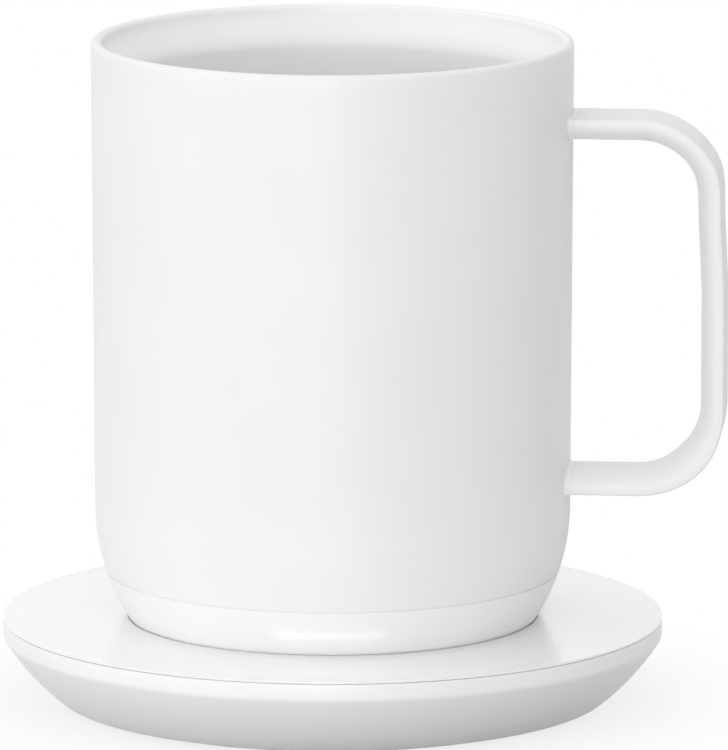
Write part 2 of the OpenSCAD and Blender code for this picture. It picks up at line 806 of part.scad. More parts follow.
// Inside of the bowl, up to the rim that holds the top plate
module bowl_inside() {
    ledge_r = bowl_c.x + (bowl_r - bowl_wall) * cos(bowl_a(band_z));
    rotate_extrude()
    polygon(concat(
        [[0, floor_top]],
        arc(bowl_c, bowl_r - bowl_wall, bowl_a(floor_top), bowl_a(band_z)),
        [[ledge_r, plate_z], [plate_r + slide_gap, plate_z], [plate_r + slide_gap, coaster_h + past],
         [0, coaster_h + past]]));
}

// Places of the stands under the coaster board
stand_x = coaster_board_w / 2 - stand_inset;
stand_y = [coaster_board_front + stand_inset, coaster_board_back - stand_inset];
stands = [for (x = [-stand_x, stand_x], y = stand_y) [x, y]];

// Coaster's bowl: a moulded shell with stands, screw bosses and the pocket for the power plug
module coaster_bowl() {
    color("white")
    difference() {
        union() {
            difference() {
                bowl_outside();
                bowl_inside();
            }
            intersection() {
                bowl_outside();
                translate([-pocket_w / 2 - bowl_wall, jack_front, bowl_z])
                    cube([pocket_w + 2 * bowl_wall, coaster_r, band_z - bowl_z]);
            }
            at_each(stands) post(stand_r, pad_z, coaster_board_z);
            at_each(on_circle(plate_post_ring, base_screw_angles))
                post(plate_post_r + bowl_wall / 2, pad_z, plate_post_z);
        }
        post(pad_r + slide_gap, bowl_z - past, pad_z);
        translate([0, pocket_y, jack_z]) rotate([-90, 0, 0])
            linear_extrude(coaster_r) round_rect(pocket_w, pocket_h, pocket_corner);
        translate([0, jack_front - past, jack_z]) rotate([-90, 0, 0])
            cylinder(r = jack_nose_r + slide_gap, h = pocket_wall + 2 * past);
        translate([-jack_w / 2 - slide_gap, jack_back - slide_gap, jack_z - jack_h / 2 - slide_gap])
            cube([jack_w + 2 * slide_gap, jack_front + slide_gap - jack_back, jack_h + 2 * slide_gap]);
        at_each(stands) post(board_screw_r + seat_fit, pad_z + blind_wall, coaster_board_z + past);
        at_each(on_circle(plate_post_ring, base_screw_angles)) {
            post(coaster_head_r + 2 * slide_gap, pad_z - past, pad_z + coaster_head_h + slide_gap);
            post(coaster_screw_r + slide_gap, pad_z, plate_post_z + past);
        }
    }
}

// Non-slip pad that the coaster stands on
module coaster_pad() {
    color("lightgray") post(pad_r, 0, pad_z);
}

// Screws that hold the bowl to the top plate, under the pad
module coaster_screws() {
    color("silver")
    at_each(on_circle(plate_post_ring, base_screw_angles))
    screw(coaster_head_r, coaster_head_h, coaster_screw_r, pad_z + coaster_head_h + slide_gap,
          plate_z - screw_end_gap);
}

// Circuit board of the coaster
module coaster_board() {
    l = coaster_board_back - coaster_board_front;
    color("darkgreen")
    difference() {
        translate([0, coaster_board_front + l / 2, coaster_board_z])
            linear_extrude(board_t) round_rect(coaster_board_w, l, stand_inset / 2);
        at_each(stands) post(board_screw_r + slide_gap, coaster_board_z - past, coaster_board_top + past);
    }
}

// Screws that hold the coaster board to its stands
module board_screws() {
    color("silver")
    at_each(stands) translate([0, 0, coaster_board_top]) mirror([0, 0, 1])
    screw(board_head_r, board_head_h, board_screw_r, 0,
          coaster_board_top - pad_z - blind_wall - screw_end_gap);
}

// Block that holds both spring pins upright on the board
module pin_carrier() {
    w = 7;
    l = ring_in_r + ring_out_r + w;
    color("dimgray")
    difference() {
        translate([(ring_out_r - ring_in_r) / 2, 0, coaster_board_top])
            linear_extrude(pin_barrel_top - pin_crimp_h - coaster_board_top) round_rect(l, w, w / 2 - past);
        at_each(pin_spots) post(pin_barrel_r + seat_fit, coaster_board_top - past, dish_z);
    }
}

// Barrels of the spring pins, closed below and crimped in at the top
module pin_barrels() {
    color("gold")
    at_each(pin_spots)
    difference() {
        post(pin_barrel_r, coaster_board_top, pin_barrel_top);
        post(pin_bore_r, pin_floor, pin_barrel_top - pin_crimp_h);
        post(pin_r + seat_fit, pin_floor, pin_barrel_top + past);
    }
}

// Plunger of a spring pin: round tip, shank and the collar that the spring pushes
module spring_pin(spot) {
    color("gold")
    translate([spot.x, spot.y, 0])
    rotate_extrude()
    polygon(concat(
        [[0, pin_collar_z], [pin_collar_r, pin_collar_z],
         [pin_collar_r, pin_collar_top], [pin_r, pin_collar_top]],
        arc([0, pin_tip_z - pin_r], pin_r, 0, 90, 8)));
}
module inner_pin() { spring_pin(pin_spots[0]); }
module outer_pin() { spring_pin(pin_spots[1]); }

// Coil spring under a spring pin's collar
module pin_spring(spot) {
    coil_r = pin_bore_r - spring_wire_r - spring_gap;
    z0 = pin_floor + 2 * spring_wire_r;
    z1 = pin_collar_z - 2 * spring_wire_r;
    steps = 10 * spring_turns;
    color("silver")
    translate([spot.x, spot.y, 0])
    sweep([for (i = [0:steps]) let(a = 360 * spring_turns * i / steps)
        [coil_r * cos(a), coil_r * sin(a), z0 + (z1 - z0) * i / steps]], spring_wire_r, 6);
}
module inner_pin_spring() { pin_spring(pin_spots[0]); }
module outer_pin_spring() { pin_spring(pin_spots[1]); }

// Power inlet: a moulded body with a round nose, a socket and solder lugs on the board
module dc_jack() {
    color("dimgray")
    difference() {
        union() {
            translate([-jack_w / 2, jack_back, jack_z - jack_h / 2])
                cube([jack_w, jack_front - slide_gap - jack_back, jack_h]);
            translate([0, jack_back, jack_z]) rotate([-90, 0, 0])
                cylinder(r = jack_nose_r, h = pocket_y - jack_back - slide_gap);
            for (s = [-1, 1])
                translate([s * jack_w / 4 - jack_lug_w / 2, jack_back - jack_lug_l, coaster_board_top])
                cube([jack_lug_w, jack_lug_l + past, jack_lug_t]);
        }
        translate([0, pocket_y - inlet_depth, jack_z]) rotate([-90, 0, 0])
            cylinder(r = socket_r, h = inlet_depth + past);
        translate([0, pocket_y - inlet_depth - past, jack_z]) rotate([-90, 0, 0])
            cylinder(r = inlet_root_r + seat_fit, h = 2 * past);
    }
}

// Middle pin of the power inlet, with a chamfered tip and a thinner root held in the body
module dc_jack_pin() {
    r = inlet_pin_d / 2;
    tip = inlet_depth - inlet_setback;
    chamfer = 0.3;
    color("gold")
    translate([0, pocket_y - inlet_depth, jack_z]) rotate([-90, 0, 0])
    rotate_extrude()
    polygon([[0, seat_fit - past], [inlet_root_r, seat_fit - past], [inlet_root_r, seat_fit], [r, seat_fit],
             [r, tip - chamfer], [r - chamfer, tip], [0, tip]]);
}

outer_shell();
inner_vessel();
handle();
base_housing();
base_seal();
foot_ring();
bottom_cover();
cover_gasket();
inner_contact_ring();
outer_contact_ring();
button_seal();
chassis();
weld_bosses();
chassis_screws();
base_screws();
main_board();
board_parts();
tact_switch();
status_led();
light_pipe();
battery_cells();
battery_leads();
insulation_disc();
heater();
temperature_sensors();
button_cap();
switch_plunger();
coaster_top();
coaster_bowl();
coaster_pad();
coaster_screws();
coaster_board();
board_screws();
pin_carrier();
pin_barrels();
inner_pin();
outer_pin();
inner_pin_spring();
outer_pin_spring();
dc_jack();
dc_jack_pin();
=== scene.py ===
"""Self-heating mug on its charging coaster: the looks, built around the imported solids."""

import json
import math

import bpy
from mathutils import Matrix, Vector


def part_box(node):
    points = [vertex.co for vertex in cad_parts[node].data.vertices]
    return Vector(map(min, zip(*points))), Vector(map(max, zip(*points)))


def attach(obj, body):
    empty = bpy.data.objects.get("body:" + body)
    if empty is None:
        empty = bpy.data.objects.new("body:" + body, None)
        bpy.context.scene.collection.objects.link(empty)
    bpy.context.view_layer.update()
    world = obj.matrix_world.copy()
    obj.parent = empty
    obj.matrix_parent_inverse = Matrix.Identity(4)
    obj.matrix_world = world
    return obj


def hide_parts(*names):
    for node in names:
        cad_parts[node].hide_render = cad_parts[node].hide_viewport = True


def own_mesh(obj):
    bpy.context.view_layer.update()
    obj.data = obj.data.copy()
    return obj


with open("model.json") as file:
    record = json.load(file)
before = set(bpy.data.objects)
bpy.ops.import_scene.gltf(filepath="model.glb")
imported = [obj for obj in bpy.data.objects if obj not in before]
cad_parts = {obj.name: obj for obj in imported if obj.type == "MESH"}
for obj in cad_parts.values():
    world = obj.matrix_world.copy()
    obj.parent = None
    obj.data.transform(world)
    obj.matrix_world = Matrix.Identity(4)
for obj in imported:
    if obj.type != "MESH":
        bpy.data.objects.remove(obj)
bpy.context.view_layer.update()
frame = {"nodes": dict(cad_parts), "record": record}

MM = 0.001
LATHE_STEPS = 192
MERGE = MM / 1000
MERGE_AFTER_CUT = MM / 500

# How far a cutting tool runs past what it cuts, in millimetres
PAST = 1.0

# Mug, in millimetres, as in the part's source
RIM_R = 40.0
RIM_Z = 111.2
LIP_Z = 108.2
LIP_T = 1.8
SIDE_R = 39.6
SHOULDER_Z = 32.7
SHOULDER_R = 34.5
SHELL_WALL = 0.8
SEAM_Z = 22.1
SEAM_GAP = 0.24
SEAM_NICK = 0.04
VESSEL_R = 34.3
VESSEL_WALL = 0.7
VESSEL_Z = 29.7
FLOOR_Z = 30.4
FLOOR_FILLET = 8.0
FLARE_TOP = 110.3
FLARE_H = 6.0
DRAFT = math.atan((RIM_R - SIDE_R) / (RIM_Z - SHOULDER_Z))
CURVE_X = SIDE_R - SHOULDER_R * math.cos(DRAFT)
CURVE_Z = SHOULDER_Z + SHOULDER_R * math.sin(DRAFT)

# Handle
HANDLE_REACH = 65.5
HANDLE_TOP = 99.2
HANDLE_LOW = 36.4
HANDLE_CORNER = 14.5
STRAP_W = 12.6
STRAP_T = 4.1
STRAP_EDGE = 1.1

# Base of the mug
MUG_Z = 12.7
HOUSING_Z = 13.1
FLANGE_TOP = 15.5
COVER_Z = 13.4
COVER_TOP = 15.2
COVER_INSET = 1.9
COVER_LIP_Z = 15.9
COVER_LIP_T = 0.8
COVER_LIP_INSET = 2.2
BOARD_Z = 18.4
RIB_W = 1.4
RIB_INSET = 5.0
BASE_WALL = 1.8
SKIRT_GAP = 0.3
BASE_EDGE = 0.8
SPIGOT_WALL = 1.6
SPIGOT_TOP = 26.1
SEAL_LOW = 23.3
SEAL_HIGH = 24.7
SEAL_GROOVE = 0.8
FOOT_W = 3.2
FOOT_INSET = 2.0
FOOT_GROOVE = 0.6
SLIDE_GAP = 0.15
SEAT_FIT = 0.05
RING_IN_R = 8.0
RING_OUT_R = 13.0
RING_W = 2.4
RING_T = 0.8
TAIL_R = 0.5
TAIL_GAP = 0.15
BUTTON_R = 4.4
BUTTON_Z = 13.5
BUTTON_FLANGE_R = 6.2
BUTTON_FLANGE_LOW = 15.65
BUTTON_FLANGE_TOP = 16.15
BUTTON_STEM_R = 1.6
BUTTON_STEM_TOP = 16.4

# Status light
LIGHT_Z = 17.8
LIGHT_H = 1.9
LIGHT_ANGLE = -85.5
LIGHT_SPAN = 32.0
LIGHT_LEVEL = 0.1

# Coaster
COASTER_R = 55.0
COASTER_H = 14.2
BAND_Z = 11.0
BOWL_R = 39.0
BOWL_LEAN = 32.0
BOWL_EDGE = 3.0
BOWL_Z = 0.5
BOWL_WALL = 2.0
FLOOR_TOP = 3.1
PAD_TOP = 1.3
PAD_R = 43.05
PLATE_R = 54.15
PLATE_Z = 11.8
DISH_Z = 10.7
DISH_MORE = 2.5
PLATE_EDGE = 0.3
SEAT_GAP = 0.14
SEAT_EDGE = 0.1
POST_OUT = 3.3
POST_R = 2.6
POST_Z = 5.0
STAND_SPOTS = [(-17.0, -18.0), (-17.0, 33.55), (17.0, -18.0), (17.0, 33.55)]
STAND_R = 2.0
STAND_TOP = 4.1

# Power inlet and spring pins
POCKET_Y = 49.0
POCKET_W = 12.4
POCKET_H = 7.8
JACK_Z = 7.1
JACK_FRONT = 46.6
JACK_BACK = 37.7
JACK_W = 9.0
JACK_H = 7.0
JACK_FIT = 0.15
NOSE_R = 3.4
SOCKET_R = 2.85
SOCKET_DEPTH = 9.0
TOOL_END = 52.0
PIN_R = 1.0
PIN_TIP = 13.3
PIN_COLLAR_R = 1.2
PIN_COLLAR_LOW = 8.65
PIN_COLLAR_TOP = 9.85
PIN_SPOTS = [(-RING_IN_R, 0.0), (RING_OUT_R, 0.0)]
SPRING_WIRE = 0.15
SPRING_TURNS = 6


def cone_r(z, inside=0.0):
    """Radius of the mug's tapered wall at a height, that far inside its outer face."""
    return SIDE_R + (z - SHOULDER_Z) * math.tan(DRAFT) - inside / math.cos(DRAFT)


def curve_angle(z, inside=0.0):
    """Angle on the shoulder's curve at a height."""
    return math.degrees(math.asin((z - CURVE_Z) / (SHOULDER_R - inside)))


def curve_r(z, inside=0.0):
    """Radius of the shoulder's curve at a height, that far inside its outer face."""
    return CURVE_X + (SHOULDER_R - inside) * math.cos(math.radians(curve_angle(z, inside)))


def ring_of_four(r):
    """Four places on a ring, halfway between the axes."""
    turns = [math.radians(a) for a in (45, 135, 225, 315)]
    return [(r * math.cos(a), r * math.sin(a)) for a in turns]


# Sizes that follow the shoulder's curve
SKIRT_R = curve_r(FLANGE_TOP, BASE_WALL) - SKIRT_GAP
FOOT_R = SKIRT_R - FOOT_INSET
COVER_R = FOOT_R - FOOT_W / 2 - COVER_INSET
COVER_LIP_R = FOOT_R - COVER_LIP_INSET
RIB_R = COVER_R - RIB_INSET
SEAT_R = curve_r(COASTER_H) + SEAT_GAP
DISH_R = curve_r(COASTER_H) + DISH_MORE
POST_SPOTS = ring_of_four(DISH_R + POST_OUT)

# Sizes that follow the coaster's outside
RIM_TOP = COASTER_H - PLATE_EDGE - SLIDE_GAP
BOWL_X = COASTER_R - BOWL_R * math.cos(math.radians(BOWL_LEAN))
BOWL_UP = BAND_Z + BOWL_R * math.sin(math.radians(BOWL_LEAN))

# Ways of working: outlines, turning, joining and cutting


def arc(x, z, r, start, end, steps=12):
    """Points on an arc, from one angle in degrees to another."""
    turns = [math.radians(start + (end - start) * i / steps) for i in range(steps + 1)]
    return [(x + r * math.cos(a), z + r * math.sin(a)) for a in turns]


def curve(z0, z1, inside=0.0, steps=24):
    """Points up the shoulder's curve between two heights."""
    start = curve_angle(z0, inside)
    end = curve_angle(z1, inside)
    return arc(CURVE_X, CURVE_Z, SHOULDER_R - inside, start, end, steps)


def closed(outline):
    """An outline that ends where it starts, for a ring."""
    return outline + outline[:1]


def only(piece):
    """Selects one piece alone and makes it the active one."""
    bpy.ops.object.select_all(action="DESELECT")
    piece.select_set(True)
    bpy.context.view_layer.objects.active = piece


def named(name):
    """The piece that was just added, under its name."""
    piece = bpy.context.active_object
    piece.name = name
    piece.data.name = name
    return piece


def start_outline(name, x, y, z):
    """A new piece that is one point in edit mode, ready to be extruded."""
    bpy.ops.object.select_all(action="DESELECT")
    bpy.ops.mesh.primitive_plane_add(size=MM, location=(0, 0, 0))
    piece = named(name)
    bpy.ops.object.mode_set(mode="EDIT")
    bpy.ops.mesh.select_all(action="SELECT")
    bpy.ops.mesh.merge(type="CENTER")
    bpy.ops.transform.translate(value=(x * MM, y * MM, z * MM))
    return piece


def draw_on(points):
    """Extrudes the selected point along the rest of an outline."""
    for a, b in zip(points, points[1:]):
        step = [(q - p) * MM for p, q in zip(a, b)]
        bpy.ops.mesh.extrude_vertices_move(TRANSFORM_OT_translate={"value": step})


def merge_doubles(distance=MERGE):
    """Merges points that lie on each other."""
    bpy.ops.mesh.select_all(action="SELECT")
    bpy.ops.mesh.remove_doubles(threshold=distance)


def cap_ends():
    """Fills the open ends of a drawn-out section."""
    bpy.ops.mesh.select_all(action="DESELECT")
    bpy.ops.mesh.select_non_manifold()
    bpy.ops.mesh.fill_holes(sides=0)


def close_up():
    """Merges what meets, turns the faces outwards and leaves edit mode."""
    merge_doubles()
    bpy.ops.mesh.normals_make_consistent(inside=False)
    bpy.ops.object.mode_set(mode="OBJECT")


def turned(name, outline, steps=LATHE_STEPS, angle=360.0, start=0.0, axis=(0.0, 0.0)):
    """A piece turned as on a lathe from an outline of radius and height, about an upright axis."""
    lead = math.radians(start)
    points = [(axis[0] + r * math.cos(lead), axis[1] + r * math.sin(lead), z) for r, z in outline]
    piece = start_outline(name, *points[0])
    draw_on(points)
    bpy.ops.mesh.select_all(action="SELECT")
    middle = (axis[0] * MM, axis[1] * MM, 0)
    bpy.ops.mesh.spin(steps=steps, angle=math.radians(angle), center=middle, axis=(0, 0, -1))
    if angle < 360:
        merge_doubles()
        cap_ends()
    close_up()
    return piece


def rod(name, x, y, r, z0, z1, steps=48):
    """An upright cylinder, as a tool or a post."""
    return turned(name, [(0, z0), (r, z0), (r, z1), (0, z1)], steps, axis=(x, y))


def screw_hole(spot, low, head_r, head_top, shank_r, high):
    """Tool for a screw's stepped hole: a seat for the head and a narrower way for the shank."""
    seat = [(0, low), (head_r, low), (head_r, head_top)]
    way = [(shank_r, head_top), (shank_r, high), (0, high)]
    return turned("screw_tool", seat + way, steps=32, axis=spot)


def block(name, low, high, edge=0.0):
    """A box between two corners, its edges rounded."""
    bpy.ops.object.select_all(action="DESELECT")
    bpy.ops.mesh.primitive_cube_add(size=1)
    piece = named(name)
    piece.location = [(a + b) / 2 * MM for a, b in zip(low, high)]
    piece.scale = [(b - a) * MM for a, b in zip(low, high)]
    bpy.ops.object.transform_apply(location=True, rotation=False, scale=True)
    if edge:
        bpy.ops.object.mode_set(mode="EDIT")
        bpy.ops.mesh.select_all(action="SELECT")
        bpy.ops.mesh.bevel(offset=edge * MM, segments=4)
        bpy.ops.object.mode_set(mode="OBJECT")
    return piece


def moved(piece, x, y, z):
    """Moves a piece's mesh, so that the object stays at the origin."""
    only(piece)
    piece.location = (x * MM, y * MM, z * MM)
    bpy.ops.object.transform_apply(location=True, rotation=False, scale=False)


def on_inlet_axis(piece):
    """Lays a turned piece over, so that it points out at the back, and lifts it to the inlet's height."""
    only(piece)
    piece.rotation_euler = (-math.pi / 2, 0, 0)
    bpy.ops.object.transform_apply(location=False, rotation=True, scale=False)
    moved(piece, 0, 0, JACK_Z)
    return piece


def together(pieces):
    """Joins meshes into the first one."""
    only(pieces[0])
    for piece in pieces:
        piece.select_set(True)
    if len(pieces) > 1:
        bpy.ops.object.join()
    return pieces[0]


def worked(piece, tools, operation):
    """Cuts the tools out of a piece, or adds them to it, and removes them."""
    tool = together(tools)
    only(piece)
    change = piece.modifiers.new("work", "BOOLEAN")
    change.operation = operation
    change.solver = "EXACT"
    change.object = tool
    bpy.ops.object.modifier_apply(modifier=change.name)
    bpy.data.objects.remove(tool)
    bpy.ops.object.mode_set(mode="EDIT")
    merge_doubles(MERGE_AFTER_CUT)
    bpy.ops.mesh.dissolve_degenerate(threshold=MERGE_AFTER_CUT)
    bpy.ops.object.mode_set(mode="OBJECT")


def dressed(piece, body, node, slot, finish=None, smooth=30.0):
    """Gives a finished piece its shading, its material and its body, and hides the node that it stands for.
    """
    only(piece)
    bpy.ops.object.shade_smooth_by_angle(angle=math.radians(smooth))
    piece.data.materials.clear()
    piece.data.materials.append(SLOT[slot] if finish is None else finish)
    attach(piece, body)
    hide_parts(node)


# Materials: each reads Object coordinates, so its grain stays on the piece as it moves


class Nodes:
    """A node tree with short ways to add to it."""

    def __init__(self, tree, coordinates):
        self.tree = tree
        self.place = self.node("ShaderNodeTexCoord").outputs[coordinates]

    def node(self, kind, **settings):
        made = self.tree.nodes.new(kind)
        for key, value in settings.items():
            setattr(made, key, value)
        return made

    def feed(self, socket, value):
        """Links a socket to another, or sets it to a constant."""
        if isinstance(value, bpy.types.NodeSocket):
            self.tree.links.new(value, socket)
        else:
            socket.default_value = value

    def math(self, operation, a, b=0.0):
        made = self.node("ShaderNodeMath", operation=operation)
        self.feed(made.inputs[0], a)
        self.feed(made.inputs[1], b)
        return made.outputs["Value"]

    def ramp(self, value, low, high, to_low=0.0, to_high=1.0):
        """A smooth run from one value to another between two limits."""
        made = self.node("ShaderNodeMapRange", interpolation_type="SMOOTHSTEP")
        self.feed(made.inputs["Value"], value)
        made.inputs["From Min"].default_value = low
        made.inputs["From Max"].default_value = high
        made.inputs["To Min"].default_value = to_low
        made.inputs["To Max"].default_value = to_high
        return made.outputs["Result"]

    def blend(self, factor, first, second, kind="RGBA"):
        made = self.node("ShaderNodeMix", data_type=kind)
        self.feed(made.inputs["Factor"], factor)
        self.feed(made.inputs["A"], first)
        self.feed(made.inputs["B"], second)
        return made.outputs["Result"]

    def axes(self):
        split = self.node("ShaderNodeSeparateXYZ")
        self.feed(split.inputs["Vector"], self.place)
        return split.outputs["X"], split.outputs["Y"], split.outputs["Z"]

    def radius(self):
        """Distance from the upright axis."""
        x, y = self.axes()[:2]
        squares = self.math("ADD", self.math("MULTIPLY", x, x), self.math("MULTIPLY", y, y))
        return self.math("SQRT", squares)

    def seen_directly(self):
        """1 for rays that look at a surface or mirror it, and 0 for rays that only carry light."""
        path = self.node("ShaderNodeLightPath")
        looked = self.math("MAXIMUM", path.outputs["Is Camera Ray"], path.outputs["Is Glossy Ray"])
        return self.math("MAXIMUM", looked, path.outputs["Is Transmission Ray"])

    def show_white(self, share, plain, white, output):
        """Puts the white shader over the plain one by that share, and shows the result."""
        mix = self.node("ShaderNodeMixShader")
        self.feed(mix.inputs[0], share)
        self.feed(mix.inputs[1], plain)
        self.feed(mix.inputs[2], white)
        self.feed(self.tree.nodes[output].inputs["Surface"], mix.outputs["Shader"])


class Finish(Nodes):
    """A material with one Principled shader."""

    def __init__(self, name, roughness=0.5, metallic=0.0, ior=1.5):
        self.material = bpy.data.materials.new(name)
        self.material.use_nodes = True
        super().__init__(self.material.node_tree, "Object")
        self.shader = self.tree.nodes["Principled BSDF"]
        self.shader.inputs["Roughness"].default_value = roughness
        self.shader.inputs["Metallic"].default_value = metallic
        self.shader.inputs["IOR"].default_value = ior

    def grain(self, size_mm, detail=2.0, stretch=(1, 1, 1)):
        """Noise whose patches are about that many millimetres across."""
        mapping = self.node("ShaderNodeMapping")
        mapping.inputs["Scale"].default_value = stretch
        self.feed(mapping.inputs["Vector"], self.place)
        noise = self.node("ShaderNodeTexNoise")
        self.feed(noise.inputs["Vector"], mapping.outputs["Vector"])
        noise.inputs["Scale"].default_value = 1.0 / (size_mm * MM)
        noise.inputs["Detail"].default_value = detail
        return noise.outputs["Fac"]

    def mottled(self, patch_mm, dark, light):
        """Two close colours in soft patches."""
        return self.blend(self.ramp(self.grain(patch_mm), 0.3, 0.7), dark, light)

    def colour(self, value):
        self.feed(self.shader.inputs["Base Color"], value)

    def sheen(self, patches, low, high):
        """Roughness that wanders between two values."""
        self.feed(self.shader.inputs["Roughness"], self.ramp(patches, 0.3, 0.7, low, high))

    def relief(self, height, depth_mm):
        """Small surface relief from a height between 0 and 1."""
        bump = self.node("ShaderNodeBump")
        bump.inputs["Strength"].default_value = 1.0
        bump.inputs["Distance"].default_value = depth_mm * MM
        self.feed(bump.inputs["Height"], height)
        self.feed(self.shader.inputs["Normal"], bump.outputs["Normal"])


def grey(value, warm=0.0):
    return (value + warm, value, value - warm, 1.0)


# How light each white is
COATED = 0.89
MOULDED = 0.95
BASE_RING = 0.92
LINING = 0.96

WHITE_PATCH_MM = 18.0
WHITE_SHADE = 0.985
SHEEN_PATCH_MM = 2.5


def white_skin(name, rough, peel_mm, peel_depth, uneven=0.03):
    """Coating or moulding with an uneven sheen and a fine skin, before it has its colour."""
    coat = Finish(name)
    coat.sheen(coat.grain(SHEEN_PATCH_MM), rough - uneven, rough + uneven)
    coat.relief(coat.grain(peel_mm, 3.0), peel_depth)
    return coat


def mottled_white(coat, light):
    """White with faint mottling."""
    return coat.mottled(WHITE_PATCH_MM, grey(light * WHITE_SHADE), grey(light))


def white_finish(name, light, **skin):
    """White coating or moulding."""
    coat = white_skin(name, **skin)
    coat.colour(mottled_white(coat, light))
    return coat


def lacquer():
    """White moulding under a clear coat, for the coaster's top."""
    coat = white_finish("lacquered_white", MOULDED, rough=0.25, peel_mm=4.0, peel_depth=0.0006, uneven=0.01)
    coat.shader.inputs["Coat Weight"].default_value = 1.0
    coat.shader.inputs["Coat Roughness"].default_value = 0.18
    coat.shader.inputs["Coat IOR"].default_value = 1.5
    return coat.material


def lit_base():
    """White moulding that lets the status light through in a soft bar."""
    coat = white_finish("white_moulding_with_light", BASE_RING, rough=0.36, peel_mm=0.35, peel_depth=0.003)
    x, y, z = coat.axes()
    bearing = coat.math("ARCTAN2", y, x)
    off = coat.math("ABSOLUTE", coat.math("SUBTRACT", bearing, math.radians(LIGHT_ANGLE)))
    half = math.radians(LIGHT_SPAN / 2)
    along = coat.ramp(off, half * 0.72, half * 1.08, 1.0, 0.0)
    drop = coat.math("ABSOLUTE", coat.math("SUBTRACT", z, LIGHT_Z * MM))
    core = coat.ramp(drop, 0.0, LIGHT_H * 0.85 * MM, 1.0, 0.0)
    halo = coat.ramp(drop, 0.0, LIGHT_H * 1.9 * MM, 0.3, 0.0)
    glow = coat.math("MULTIPLY", along, coat.math("MAXIMUM", core, halo))
    coat.feed(coat.shader.inputs["Emission Color"], (1.0, 1.0, 1.0, 1.0))
    coat.feed(coat.shader.inputs["Emission Strength"], coat.math("MULTIPLY", glow, LIGHT_LEVEL))
    return coat.material


def vessel_finish():
    """The shell's coating on the lip, and a paler lining inside."""
    coat = white_skin("white_lining", rough=0.36, peel_mm=0.5, peel_depth=0.002)
    lip = coat.ramp(coat.radius(), (RIM_R - LIP_T) * MM, (RIM_R - LIP_T / 4) * MM)
    coat.colour(coat.blend(lip, mottled_white(coat, LINING), mottled_white(coat, COATED)))
    return coat.material


def plain_skin(name, rough, skin_mm, skin_depth, metallic=0.0, stretch=(1, 1, 1)):
    """A material with an uneven sheen and a fine relief, before it has its colour."""
    look = Finish(name, rough, metallic)
    look.sheen(look.grain(skin_mm * 4, 3.0, stretch), rough * 0.85, rough * 1.15)
    look.relief(look.grain(skin_mm, 3.0, stretch), skin_depth)
    return look


def plain_finish(name, dark, light, patch_mm, rough, skin_mm, skin_depth, metallic=0.0, stretch=(1, 1, 1)):
    """A finish of two close colours in patches."""
    look = plain_skin(name, rough, skin_mm, skin_depth, metallic, stretch)
    look.colour(look.blend(look.ramp(look.grain(patch_mm, 4.0, stretch), 0.35, 0.65), dark, light))
    return look


def heater_foil():
    """Amber film over etched foil tracks, drawn as rings."""
    track_pitch = 1.8
    foil = plain_skin("amber_film", 0.3, 0.4, 0.003)
    ring = foil.math("FRACT", foil.math("MULTIPLY", foil.radius(), 1 / (track_pitch * MM)))
    track = foil.ramp(foil.math("ABSOLUTE", foil.math("SUBTRACT", ring, 0.5)), 0.2, 0.26, 1.0, 0.0)
    film = foil.mottled(3.0, (0.42, 0.2, 0.03, 1), (0.52, 0.27, 0.06, 1))
    foil.colour(foil.blend(track, film, (0.55, 0.42, 0.24, 1)))
    return foil.material


def clear_acrylic():
    """Clear moulding of the light pipe, a little cloudy."""
    pipe = Finish("clear_acrylic", 0.08, 0.0, 1.49)
    pipe.colour(pipe.mottled(3.0, (0.9, 0.95, 0.96, 1), (0.95, 0.97, 0.98, 1)))
    pipe.sheen(pipe.grain(0.6), 0.05, 0.12)
    pipe.shader.inputs["Transmission Weight"].default_value = 0.85
    return pipe.material


# For each slot: name, darker and lighter colour, patch size, roughness, skin size, skin depth, metal, stretch
PLAIN_LOOKS = {
    "grey_plastic": ("light_grey_moulding", grey(0.5), grey(0.54), 4.0, 0.4, 0.3, 0.004),
    "black_plastic": ("black_moulding", grey(0.025), grey(0.045), 2.0, 0.5, 0.25, 0.006),
    "dark_silicone": ("dark_silicone", grey(0.05), grey(0.07), 3.0, 0.65, 0.2, 0.006),
    "pale_silicone": ("pale_silicone", grey(0.57), grey(0.595), 5.0, 0.7, 0.2, 0.008),
    "contact_gold": (
        "contact_plating", (0.82, 0.61, 0.24, 1), (0.87, 0.66, 0.28, 1), 2.0, 0.24, 0.15, 0.002, 1.0,
    ),
    "plain_steel": (
        "plain_steel", (0.5, 0.5, 0.51, 1), (0.66, 0.66, 0.67, 1), 1.0, 0.32, 0.2, 0.002, 1.0, (1, 1, 6),
    ),
    "circuit_board": (
        "green_solder_mask", (0.012, 0.12, 0.05, 1), (0.02, 0.17, 0.07, 1), 1.2, 0.3, 0.3, 0.004,
    ),
    "light_source": ("cast_resin", grey(0.8, 0.05), grey(0.88, 0.03), 1.0, 0.2, 0.2, 0.002),
    "cell_pouch": (
        "foil_pouch", (0.5, 0.53, 0.58, 1), (0.62, 0.65, 0.7, 1), 6.0, 0.35, 0.8, 0.02, 0.9,
    ),
    "lead_insulation": (
        "red_lead", (0.4, 0.03, 0.02, 1), (0.52, 0.06, 0.04, 1), 1.0, 0.4, 0.2, 0.003,
    ),
    "insulation_felt": (
        "pressed_felt", (0.62, 0.57, 0.46, 1), (0.78, 0.74, 0.64, 1), 0.5, 0.95, 0.15, 0.05,
    ),
}


